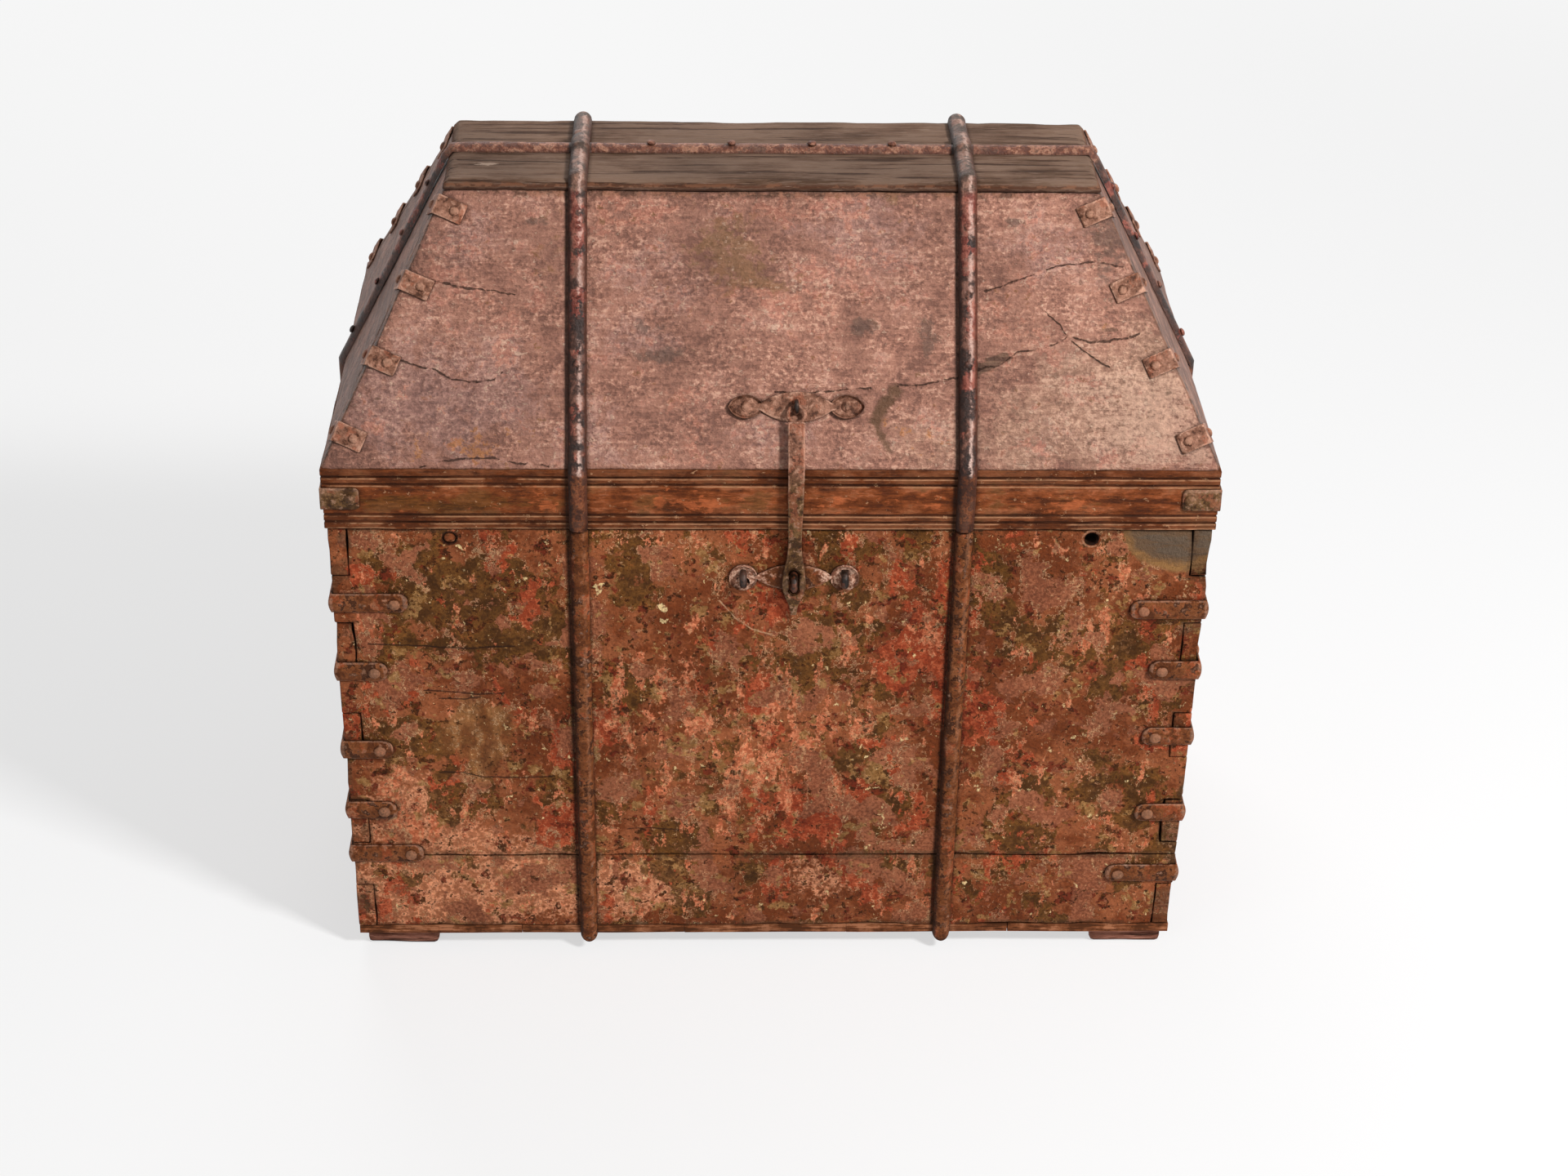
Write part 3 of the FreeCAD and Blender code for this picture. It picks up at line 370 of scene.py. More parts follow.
    def done(self, roughness, height, depth, specular, metallic=0.0):
        """The finished shader in the colour so far, with relief of a given depth."""
        bump = {"Strength": 1.0, "Distance": depth, "Height": height}
        sockets = {"Base Color": self.colour, "Roughness": roughness, "Metallic": metallic,
                   "Specular IOR Level": specular, "Normal": self.node("ShaderNodeBump", {}, bump)}
        shader = self.node("ShaderNodeBsdfPrincipled", {}, sockets)
        self.node("ShaderNodeOutputMaterial", {}, {"Surface": shader})
        return self.material


OLD_WOOD = (104, 74, 50)
DARK_WOOD = (66, 41, 23)
# The colour of painted shade in crevices and of painted shadows beside the straps.
PAINTED_SHADE = (34, 15, 5)


def bare_wood(f, along, seed):
    """Colour and relief of old bare wood; along is the stretch of its grain."""
    grain = f.cloud(0.010, 6, 0.62, along, seed)
    fine = f.cloud(0.0028, 3, 0.6, along, seed + 1)
    colour = f.mix(DARK_WOOD, OLD_WOOD, f.step(grain, 0.0, 1.6))
    colour = f.mix(colour, (128, 96, 68), f.step(fine, 1.0, 0.8) * 0.5)
    return colour, grain * 0.05 + fine * 0.03


FRONT_CRACKS = (
    ((-340, 297), (-318, 296), (-290, 293), (-262, 294)),
    ((-326, 287), (-300, 287), (-286, 290)),
    ((-330, 198), (-305, 197), (-288, 192), (-250, 190), (-215, 192)),
    ((-142, 126), (-118, 127), (-90, 124)),
    ((-392, 352), (-350, 350), (-300, 347), (-250, 349)),
)
FRONT_SCRATCH = ((-50, 402), (-34, 383), (-18, 370), (2, 363))
PEG_HOLES = (307, -307)
PEG_HEIGHT = 473


def box_paint():
    """Many coats of red and brown paint, chipped and rubbed, on the box boards."""
    f = Finish("chipped_paint")
    zone = f.zones(on_front, f.shaken(0.06, 0.05, 3), ZONE_DEEP)
    olive = zone(
        (-290, 410, 75, 60, 1.0), (-285, 370, 60, 40, 0.7), (30, 330, 60, 28, 1.0),
        (70, 470, 50, 16, 0.8), (235, 440, 50, 26, 0.6), (215, 350, 26, 40, 0.6),
        (260, 335, 40, 30, 0.5), (-130, 320, 50, 40, 0.6), (230, 135, 40, 40, 0.6),
        (-120, 120, 50, 22, 0.9), (-25, 60, 16, 30, 0.8), (-85, 55, 12, 40, 0.7),
        (-380, 290, 30, 40, 0.6), (-90, 400, 60, 30, 0.5))
    salmon = zone(
        (-375, 150, 30, 70, 1.2), (-320, 120, 60, 26, 0.7), (-110, 300, 50, 60, 0.8),
        (-70, 200, 110, 90, 0.6), (5, 240, 40, 60, 0.8), (60, 230, 60, 70, 0.5),
        (163, 372, 8, 34, 1.2), (325, 385, 18, 44, 0.9), (165, 60, 12, 36, 0.8),
        (-395, 380, 12, 30, 0.8), (330, 165, 26, 12, 0.6), (250, 180, 14, 22, 0.6),
        (75, 350, 8, 40, 0.7), (-75, 380, 14, 30, 0.6))
    tan = zone(
        (-310, 45, 130, 52, 1.2), (-150, 50, 70, 30, 0.8), (-370, 150, 34, 50, 0.9),
        (-290, 110, 70, 20, 0.6), (60, 60, 60, 30, 0.4))
    red = zone(
        (20, 395, 50, 20, 1.3), (135, 330, 30, 60, 0.9), (-40, 375, 40, 24, 0.6),
        (230, 280, 34, 18, 0.8), (330, 330, 40, 30, 0.6), (90, 260, 70, 90, 0.5),
        (-400, 430, 30, 16, 1.0), (-225, 420, 20, 40, 0.9), (-20, 130, 60, 30, 0.7),
        (240, 150, 40, 40, 0.5), (320, 40, 70, 30, 0.4), (-215, 130, 24, 30, 0.6))
    flat = zone(
        (275, 415, 22, 30, 1.0), (285, 310, 24, 20, 1.0), (280, 265, 16, 12, 1.0),
        (210, 420, 12, 30, 0.9), (-170, 370, 22, 60, 0.9), (120, 150, 44, 40, 0.8),
        (40, 290, 36, 14, 0.9), (310, 140, 40, 24, 0.8), (-75, 115, 20, 18, 1.1),
        (130, 65, 34, 26, 0.9), (320, 75, 60, 16, 0.9), (-390, 460, 30, 14, 0.9),
        (-220, 290, 20, 50, 0.8), (-240, 60, 40, 24, 0.6), (215, 200, 12, 24, 0.9),
        (-370, 350, 40, 16, 0.6), (-300, 340, 40, 14, 0.6), (140, 390, 24, 30, 0.6))
    ochre = zone(
        (-215, 255, 18, 16, 1.0), (-88, 228, 12, 22, 1.0), (-128, 178, 10, 26, 1.0),
        (-30, 205, 22, 10, 0.9), (-70, 165, 7, 18, 0.9), (-85, 50, 14, 20, 0.8),
        (115, 190, 14, 16, 0.7), (90, 130, 22, 30, 0.6), (340, 400, 8, 8, 0.9),
        (245, 350, 14, 10, 0.7), (130, 292, 30, 7, 0.7), (-22, 160, 12, 10, 0.8),
        (-205, 370, 12, 20, 0.8), (-205, 170, 14, 26, 0.7), (-100, 260, 10, 8, 0.9))
    rubbed = zone((-292, 240, 52, 48, 1.0))
    cream = zone(
        (-157, 421, 7, 4, 1.2), (-105, 396, 7, 5, 1.2), (-103, 377, 8, 4, 1.1),
        (118, 178, 9, 3, 1.1), (117, 143, 3, 8, 1.0), (95, 215, 4, 8, 1.0))
    corner_patch = f.spots([(on_front(395, 476), (0.050, ZONE_DEEP, 0.042), 1.0),
                            (on_front(364, 484), (0.022, ZONE_DEEP, 0.024), 0.6)],
                           f.shaken(0.014, 0.03, 9))

    big = f.cloud(0.16, 4, 0.55, seed=1)
    first = f.cloud(0.052, 7, 0.62, (1, 1, 0.8), 31)
    second = f.cloud(0.042, 7, 0.62, (1, 1, 0.6), 32)
    third = f.cloud(0.024, 7, 0.64, seed=33)
    drips = f.cloud(0.019, 7, 0.66, (1, 1, 0.35), 34)
    upper = f.cloud(0.048, 7, 0.60, seed=36)
    chips = f.cloud(0.0075, 5, 0.70, seed=4)
    fine = f.cloud(0.0030, 4, 0.70, seed=7)
    torn = f.shaken(0.020, 0.012, 6)
    large, other, small = f.flakes(0.030, 1, torn), f.flakes(0.022, 3, torn), f.flakes(0.011, 2, torn)
    olive_coat = first * 0.8 + large * 0.45 + small * 0.25 + chips * 0.12 + big * 0.4
    olive_coat = olive_coat + olive * 2.2 - tan * 1.4
    red_coat = second * 0.8 + other * 0.45 + small * 0.25 + chips * 0.12 - big * 0.3 + red * 1.9
    flat_coat = upper * 0.8 - large * 0.40 + other * 0.25 + chips * 0.08 + flat * 2.0

    f.colour = f.coat((112, 54, 27), (145, 82, 54), third * 0.7 + big * 0.7, 0.0, 1.2)
    f.lay(f.coat((164, 100, 73), (214, 145, 116), chips + third * 0.4, 0.0, 1.0),
          f.step(tan + first * 0.10 + chips * 0.08, 0.34, 0.14) * 0.95)
    on_olive = f.step(olive_coat, 0.98, 0.26)
    murk = f.bands(third * 0.8 + chips * 0.5, (-0.7, (62, 38, 11)), (0.3, (82, 52, 19)),
                   (1.2, (101, 65, 27)), (3.0, (134, 80, 40)), soft=0.12)
    f.lay(murk, on_olive * 0.88)
    on_red = f.step(red_coat, 1.25, 0.10)
    f.lay(f.coat((146, 59, 35), (174, 84, 57), chips, 0.2, 0.6), on_red * 0.92)
    on_deep = f.step(third * 0.8 - small * 0.5 + chips * 0.15 + red * 0.5 - olive * 0.4, 1.5, 0.12)
    f.lay((108, 36, 19), on_deep * 0.85)
    on_salmon = f.step(drips + small * 0.45 + chips * 0.35 + salmon * 2.4, 2.35, 0.2)
    f.lay(f.coat((178, 94, 66), (203, 124, 95), chips + fine * 0.3, 0.3, 0.9), on_salmon * 0.92)
    on_flat = f.step(flat_coat, 1.15, 0.08)
    f.lay(f.coat((133, 74, 53), (150, 90, 67), fine + first * 0.5, 0.0, 1.0), on_flat * 0.94)
    on_ochre = f.step(f.cloud(0.020, 6, 0.62, seed=11) + chips * 0.2 + ochre * 2.6, 2.1, 0.08)
    f.lay(f.coat((134, 92, 54), (158, 116, 76), chips, 0.0, 1.0), on_ochre * 0.85)
    grey = f.coat((112, 66, 36), (146, 98, 62), drips, 0.0, 1.6)
    f.lay(grey, f.step(rubbed + upper * 0.08, 0.50, 0.16) * 0.88)
    pit = f.step(chips * 0.8 + third * 0.5 + olive * 0.25 - on_flat * 0.8, 1.45, 0.20)
    f.lay(f.coat((46, 22, 6), (76, 42, 16), fine, 0.0, 1.2), pit * 0.92)
    # Painted highlight: pale lines just inside the flakes' edges, where their raised rims catch the
    # light.
    ridge = f.under(abs(flat_coat - 1.24), 0.04, 0.04)
    ridge = ridge.most(f.under(abs(red_coat - 1.38), 0.04, 0.04))
    ridge = ridge.most(f.under(abs(olive_coat - 0.80), 0.04, 0.04))
    ridge = ridge * f.step(drips - third * 0.5, 0.2, 0.5)
    f.lay((224, 180, 144), ridge * 0.85)
    specks = f.cloud(0.0050, 5, 0.72, (1, 1, 0.7), 41) + drips * 0.35 + salmon * 0.7 - on_olive * 0.3
    specks = f.step(specks, 2.3, 0.25)
    f.lay((218, 166, 130), specks * 0.45)
    flecks = f.step(f.cloud(0.010, 6, 0.72, (1, 1, 0.8), 8) + cream * 3.0, 2.7, 0.15)
    f.lay((236, 204, 160), flecks * 0.9)
    light = 1.20 + big * 0.05 + fine * 0.10 + chips * 0.05 + small * 0.06 + large * 0.04
    f.shade(light, blue=0.84)

    wobble = f.shaken(0.004, 0.016, 5)
    split = f.under(f.nearest_line(FRONT_CRACKS, on_front, wobble), 0.0008, 0.0006)
    f.lay((44, 20, 7), split * 0.8)
    scratch = f.nearest_line([FRONT_SCRATCH], on_front, wobble)
    f.lay((212, 168, 128), f.under(scratch, 0.0007, 0.0005) * 0.8)

    wood, wood_relief = bare_wood(f, (0.08, 0.08, 1), 20)
    patch = f.step(corner_patch, 0.40, 0.05)
    bare = f.coat((158, 114, 68), (104, 86, 70), corner_patch + third * 0.05, 0.60, 0.12)
    grain = f.step(f.cloud(0.007, 5, 0.6, (0.2, 1, 1), 21), 0.0, 1.2)
    f.lay(f.mix(bare, (116, 84, 56), grain * 0.5), patch)
    worn = f.step(f.arris(), 0.7, 0.2) * f.step(upper, -0.4, 0.5)
    f.lay(wood, worn * 0.5)
    # Painted shade in crevices and a painted shadow along each strap's left edge.
    f.lay(PAINTED_SHADE, f.crevice_shade().most(f.strap_shadow()) * 0.85)
    outside = f.step(f.past_walls(), -0.0080, 0.0010)
    f.colour = f.mix(wood, f.colour, outside)
    mouths = [on_front(x, PEG_HEIGHT) for x in PEG_HOLES]
    open_hole, plugged = (f.gap([mouth, mouth + Vector((0, 0.02, 0))], f.place) for mouth in mouths)
    rim = f.under(abs(open_hole - 0.0086), 0.0009, 0.0007)
    f.lay((204, 150, 116), rim * f.step(chips, -0.8, 0.6) * 0.6)
    # Painted shade inside the open peg hole.
    f.lay((20, 10, 5), f.under(open_hole, 0.0072, 0.0004) * 0.95)
    f.lay((40, 18, 8), f.under(abs(plugged - 0.0070), 0.0008, 0.0006) * 0.8)

    coats = on_flat * 0.55 + on_red * 0.3 + on_olive * 0.2 - on_deep * 0.25 - on_salmon * 0.25
    coats = coats - pit * 0.6 + ridge * 0.3 + specks * 0.2
    coats = coats * (1 - patch) + large * 0.10 + small * 0.12 + fine * 0.13 + chips * 0.08
    coats = coats + flecks * 0.4 - split
    relief = f.blend(wood_relief * 5, coats, outside)
    roughness = 0.62 - on_flat * 0.10 + pit * 0.12
    return f.done(roughness, relief, 0.0016, specular=0.11)


LID_CRACKS = (
    ((118, 80), (140, 82), (172, 88), (196, 96), (215, 100), (230, 112), (262, 117), (280, 128),
     (300, 122), (330, 124), (346, 130)),
    ((258, 150), (272, 138), (280, 125), (292, 115), (308, 103), (318, 99)),
    ((200, 170), (235, 182), (270, 195), (300, 198), (340, 192)),
    ((-354, 104), (-335, 97), (-318, 95), (-303, 85), (-285, 82), (-262, 86), (-255, 92)),
    ((-322, 178), (-300, 174), (-270, 169), (-243, 166)),
    ((-335, 0), (-315, 7), (-290, 11), (-262, 11), (-235, 6), (-200, 3)),
    ((2, 74), (30, 72), (80, 78), (92, 78)),
)
HASP_STAIN = ((114, 74), (104, 58), (97, 46), (99, 36), (110, 20))
LID_TEAR = ((194, 95), (206, 101), (219, 108))


def lid_paint():
    """Faded rose paint over grained boards, on the lid's slopes."""
    f = Finish("rose_paint")
    zone = f.zones(on_slope, f.shaken(0.07, 0.05, 2))
    wobble = f.shaken(0.007, 0.016, 5)
    broad = f.cloud(0.09, 6, 0.62, seed=1)
    mid = f.cloud(0.040, 7, 0.64, seed=2)
    chips = f.cloud(0.011, 6, 0.68, (0.9, 1, 1), 3)
    weave = f.cloud(0.0036, 4, 0.65, (0.8, 1, 1), 4)
    grain = f.cloud(0.005, 5, 0.6, (0.10, 1, 1), 5)

    dense = 0.25 + f.step(f.cloud(0.030, 5, 0.6, seed=9), 0.0, 1.2) * 0.75
    f.colour = f.bands(mid * 0.42 + chips * 0.38 + weave * dense * 0.68 + grain * 0.28 + broad * 0.25,
                       (-1.4, (132, 89, 74)), (-0.6, (150, 103, 86)), (0.4, (165, 115, 96)),
                       (1.2, (180, 128, 107)), (3.0, (204, 154, 131)), soft=0.35)
    tan = zone((300, 60, 110, 70, 1.0), (160, 20, 80, 30, 0.6), (360, 110, 50, 40, 0.6))
    dust = chips * 0.5 + weave * 0.6 + grain * 0.4
    f.lay(f.coat((150, 118, 96), (190, 154, 128), dust, 0.0, 1.6),
          f.step(tan + chips * 0.06 + mid * 0.10, 0.6, 0.4) * 0.5)
    mauve = zone(
        (-320, 62, 100, 62, 1.5), (-90, 190, 60, 50, 0.7), (110, 230, 50, 40, 0.9),
        (40, 220, 50, 30, 0.6), (-110, 120, 40, 20, 0.8), (-150, 40, 30, 40, 0.6),
        (-60, 50, 20, 20, 0.6), (0, 30, 60, 20, 0.5), (250, 210, 60, 30, 0.6),
        (-290, 220, 40, 30, 0.6))
    f.lay(f.coat((122, 92, 88), (160, 124, 116), chips + weave * 0.4, 0.0, 1.4),
          f.step(mauve * 0.9 + mid * 0.25 + broad * 0.1 + chips * 0.15, 0.6, 0.45) * 0.5)
    pink = zone(
        (-130, 240, 40, 30, 0.9), (20, 160, 60, 26, 0.9), (-30, 175, 30, 16, 0.8),
        (60, 200, 40, 20, 0.6), (-70, 40, 26, 40, 0.8), (40, 250, 60, 16, 0.7),
        (-270, 150, 60, 40, 0.5), (220, 150, 30, 60, 0.5), (-150, 85, 60, 30, 0.5))
    f.lay(f.coat((182, 112, 90), (206, 138, 112), weave, 0.5, 0.6),
          f.step(pink * 0.9 + chips * 0.35 + mid * 0.3, 0.85, 0.3) * 0.6)
    olive = zone(
        (-45, 215, 40, 30, 1.0), (-20, 185, 50, 14, 0.8), (115, 258, 20, 14, 0.7),
        (-205, 200, 26, 30, 0.4), (95, 262, 14, 8, 0.8))
    f.lay((126, 92, 54), f.step(olive + chips * 0.2, 0.62, 0.25) * 0.6)
    rust = zone(
        (-270, 28, 26, 16, 1.0), (-332, 22, 14, 12, 0.9), (130, 30, 24, 10, 0.8),
        (300, 128, 24, 8, 0.6))
    f.lay((186, 120, 66), f.step(rust + chips * 0.25, 0.75, 0.2) * 0.7)
    # Painted sheen: a pale patch towards the lower right of the slope.
    pale = zone(
        (370, 66, 50, 34, 1.0), (395, 20, 50, 14, 0.9), (330, 30, 60, 20, 0.5),
        (300, 80, 50, 40, 0.4))
    f.lay((206, 166, 142), f.step(pale + grain * 0.08 + weave * 0.15, 0.6, 0.4) * 0.55)
    dark = zone(
        (82, 135, 15, 9, 1.2), (145, 125, 12, 20, 0.7), (-112, 106, 20, 7, 0.9),
        (-96, 112, 16, 6, 0.6), (315, 215, 26, 50, 0.7), (330, 240, 16, 30, 0.6),
        (-226, 232, 12, 5, 0.9), (228, 236, 9, 5, 0.9), (-118, 135, 20, 10, 0.6), place=wobble)
    f.lay((94, 72, 62), f.step(dark + chips * 0.2, 0.6, 0.25) * 0.7)
    flecks = f.cloud(0.006, 5, 0.72, (0.8, 1, 1), 8) + f.step(olive, 0.1, 0.5) * 0.6
    flecks = f.step(flecks + mid * 0.25 + broad * 0.2, 2.6, 0.3)
    f.lay((226, 188, 162), flecks * 0.5)
    f.shade(0.895 + broad * 0.05 + weave * 0.03)

    crack = f.nearest_line(LID_CRACKS, on_slope, wobble)
    split = f.under(crack + chips * 0.00015, 0.0007, 0.0005)
    stain = f.nearest_line([HASP_STAIN], on_slope, wobble)
    stain = f.under(stain + mid * 0.0012 + chips * 0.0006, 0.0036, 0.0032) * 0.85
    f.lay((92, 64, 42), stain)
    torn = f.nearest_line([LID_TEAR], on_slope, wobble)
    torn = f.under(torn + grain * 0.0010, 0.0050, 0.0015)
    f.lay(f.coat((70, 48, 36), (112, 84, 66), grain, 0.0, 1.0), torn * 0.85)
    scar = zone(
        (320, 134, 14, 5, 0.7), (-372, 66, 4, 4, 0.7), (-297, 207, 5, 4, 0.7), (298, 26, 3, 3, 0.9),
        (374, 75, 5, 4, 0.9), (307, 224, 4, 4, 0.9), place=wobble)
    scar = f.step(scar + grain * 0.15, 0.55, 0.2)
    f.lay((92, 66, 50), scar * 0.7)
    f.lay((56, 33, 22), split * 0.88)

    wood, wood_relief = bare_wood(f, (0.07, 1, 1), 20)
    front, side = over_front(f), over_side(f)
    on_side = f.step(side - front, 0.0, 0.001)
    lines = f.cloud(0.006, 5, 0.62, (1, 0.1, 1), 12)
    dusty = f.coat((88, 57, 43), (122, 86, 70), lines, 0.0, 1.6)
    dusty = f.mix(dusty, f.colour, f.step(mid * 0.6 + chips * 0.4, 0.6, 0.7) * 0.5)
    f.lay(dusty, on_side * 0.85)
    worn = f.step(f.arris(), 0.7, 0.2) * f.step(mid, -0.6, 0.6)
    f.lay(f.mix(DARK_WOOD, (142, 96, 72), f.step(chips, 0.0, 0.8)), worn * 0.7)
    # Painted shade in crevices and a painted shadow along each strap's left edge.
    f.lay(PAINTED_SHADE, f.crevice_shade().most(f.strap_shadow()) * 0.8)
    outside = f.step(side.most(front), -0.0070, 0.0012)
    f.colour = f.mix(wood, f.colour, outside)

    coats = mid * 0.05 + chips * 0.10 + weave * 0.13 + grain * 0.12 + flecks * 0.3
    coats = coats - split * 1.8 - scar * 0.4 - torn * 0.5
    relief = f.blend(wood_relief * 5, coats, outside)
    roughness = 0.44 - pale * 0.06 + f.step(weave, 0.0, 1.5) * 0.10
    return f.done(roughness, relief, 0.0012, specular=0.24)


SKIRT_GROOVES = (0.008, 0.016, 0.049, 0.057)
SKIRT_MIDDLE = 0.0325


def skirt_paint():
    """Brown paint with worn mouldings, on the lid's skirt, with painted shade in the grooves and painted
    highlights on their lips.
    """
    f = Finish("brown_paint")
    zone = f.zones(on_skirt, f.shaken(0.03, 0.04, 4), ZONE_DEEP)
    grain = f.cloud(0.006, 6, 0.62, (0.10, 0.10, 1), 1)
    mid = f.cloud(0.024, 7, 0.66, (0.5, 0.5, 1), 2)
    chips = f.cloud(0.008, 6, 0.68, (0.5, 0.5, 1), 3)
    fine = f.cloud(0.0025, 3, 0.6, (0.4, 0.4, 1), 4)
    f.colour = f.bands(grain * 0.4 + mid * 0.7 + chips * 0.4,
                       (-1.1, (88, 41, 15)), (-0.3, (106, 52, 21)), (0.5, (121, 61, 28)),
                       (1.2, (134, 70, 36)), (3.0, (152, 88, 55)), soft=0.3)
    olive = zone((-310, 26, 90, 16, 1.0), (-400, 34, 40, 12, 0.6))
    f.lay((96, 60, 22), f.step(olive + mid * 0.3, 0.55, 0.3) * 0.7)
    orange = zone(
        (-62, 28, 42, 8, 1.0), (-210, 28, 13, 8, 1.0), (-286, 27, 6, 7, 0.9), (-105, 32, 8, 8, 0.8),
        (285, 30, 46, 12, 0.7), (150, 32, 26, 10, 0.5), (60, 30, 26, 12, 0.5))
    f.lay((172, 90, 50), f.step(orange + chips * 0.25, 0.75, 0.15) * 0.75)
    rise = f.z - RIM
    groove, lip = None, None
    for height in SKIRT_GROOVES:
        near, edge = abs(rise - height), abs(rise - height + 0.0021)
        groove = near if groove is None else groove.least(near)
        lip = edge if lip is None else lip.least(edge)
    lip = lip.least(abs(rise - 0.0012))
    away = abs(rise - SKIRT_MIDDLE)
    between = f.under(abs(away - 0.0205), 0.0040, 0.0006).most(f.step(away, 0.0250, 0.0006))
    f.lay((80, 40, 17), between * 0.5)
    # Painted shade in the mouldings' grooves.
    f.lay((38, 17, 6), f.under(groove, 0.0010, 0.0007) * 0.6)
    # Pale lines along the grooves' lower lips: partly worn paint, partly a painted highlight where light
    # from above catches them.
    f.lay((196, 146, 108), f.under(lip, 0.0006, 0.0005) * f.step(mid, -0.9, 0.9) * 0.6)
    f.lay((52, 24, 9), f.under(grain + chips * 0.4, -1.7, 0.4) * 0.4)
    flecks = f.step(f.cloud(0.007, 6, 0.72, (0.7, 0.7, 1), 8), 2.5, 0.2)
    f.lay((200, 150, 110), flecks * 0.7)
    f.shade(1.0 + fine * 0.07)
    wood, wood_relief = bare_wood(f, (0.07, 0.07, 1), 20)
    worn = f.step(f.arris(), 0.7, 0.2) * f.step(mid, -0.3, 0.6)
    f.lay((156, 106, 76), worn * 0.14)
    # Painted shade in crevices and a painted shadow along each strap's left edge.
    f.lay(PAINTED_SHADE, f.crevice_shade().most(f.strap_shadow()) * 0.8)
    outside = f.step(f.past_skirt(), -0.0040, 0.0012)
    f.colour = f.mix(wood, f.colour, outside)
    relief = f.blend(wood_relief * 5, grain * 0.15 + chips * 0.08 + fine * 0.08 + flecks * 0.3, outside)
    return f.done(0.58 + f.step(chips, 0.0, 1.5) * 0.1, relief, 0.0009, specular=0.12)


def top_wood():
    """Weathered grey-brown wood of the lid's top."""
    f = Finish("grey_wood")
    grain = f.cloud(0.0065, 6, 0.62, (0.05, 1, 1), 1)
    fine = f.cloud(0.0022, 4, 0.6, (0.07, 1, 1), 2)
    mid = f.cloud(0.05, 6, 0.62, (0.5, 1, 1), 3)
    chips = f.cloud(0.010, 6, 0.68, (0.6, 1, 1), 4)
    f.colour = f.bands(grain * 0.5 + mid * 0.7,
                       (-1.0, (86, 63, 48)), (-0.2, (101, 76, 61)), (0.6, (111, 86, 70)),
                       (3.0, (121, 96, 80)), soft=0.3)
    f.lay((132, 108, 94), f.step(fine, 1.1, 0.5) * 0.5)
    f.lay((56, 37, 27), f.under(grain, -1.6, 0.35) * 0.8)
    drop = TOP - f.z + chips * 0.0004
    lip = f.step(drop, 0.0035, 0.0012) * f.under(drop, 0.0062, 0.0010)
    f.lay(f.coat((80, 46, 30), (118, 76, 54), chips, 0.3, 0.5), lip * 0.8)
    # Painted shade on the top board's edge below its lip, which its overhang keeps from the light.
    f.lay((50, 24, 13), f.step(drop, 0.0066, 0.0010) * 0.85)
    pale = f.spots([(on_top(-272, 187), (0.012, 0.003, 0.05), 1.0)], f.shaken(0.01, 0.01, 6))
    f.lay((190, 162, 142), f.step(pale + fine * 0.15, 0.6, 0.15) * 0.8)
    f.shade(1.0 + f.cloud(0.12, 3, 0.5, seed=5) * 0.05)
    crack = f.gap([on_top(-300, 196), on_top(-250, 194), on_top(-196, 193)], f.shaken(0.004, 0.02, 7))
    split = f.under(crack, 0.0009, 0.0005)
    f.lay((44, 27, 19), split * 0.85)
    # Painted shade in crevices.
    f.lay(PAINTED_SHADE, f.crevice_shade() * 0.7)
    relief = grain * 0.14 + fine * 0.10 + chips * 0.05 - split * 1.5
    return f.done(0.72 + f.step(fine, 0.0, 1.5) * 0.1, relief, 0.0009, specular=0.12)


def rough_wood():
    """Brown wood of the feet and the bottom."""
    f = Finish("brown_wood")
    grain = f.cloud(0.007, 6, 0.62, (0.07, 0.25, 1), 1)
    fine = f.cloud(0.0024, 4, 0.6, (0.08, 0.3, 1), 2)
    mid = f.cloud(0.03, 6, 0.64, seed=3)
    f.colour = f.bands(grain * 0.7 + mid * 0.5,
                       (-0.9, (92, 54, 40)), (0.0, (120, 74, 58)), (0.8, (136, 87, 70)),
                       (3.0, (152, 100, 82)), soft=0.3)
    f.lay((174, 122, 102), f.step(fine, 1.2, 0.4) * 0.5)
    f.lay((58, 31, 20), f.under(grain, -1.5, 0.35) * 0.75)
    above_feet = f.step(f.z, 0.0195, 0.001)
    board = f.bands(mid * 0.8 + fine * 0.4, (-0.7, (82, 44, 20)), (0.3, (114, 64, 36)),
                    (1.0, (134, 82, 52)), (3.0, (160, 104, 72)))
    f.lay(board, above_feet)
    inner = f.step(f.past_walls(), -0.02, 0.004)
    f.colour = f.mix(f.mix(f.colour, OLD_WOOD, 0.5), f.colour, inner)
    f.shade(1.0 + fine * 0.07)
    # Painted shade in crevices.
    f.lay(PAINTED_SHADE, f.crevice_shade() * 0.7)
    return f.done(0.72, grain * 0.14 + fine * 0.10, 0.0010, specular=0.12)


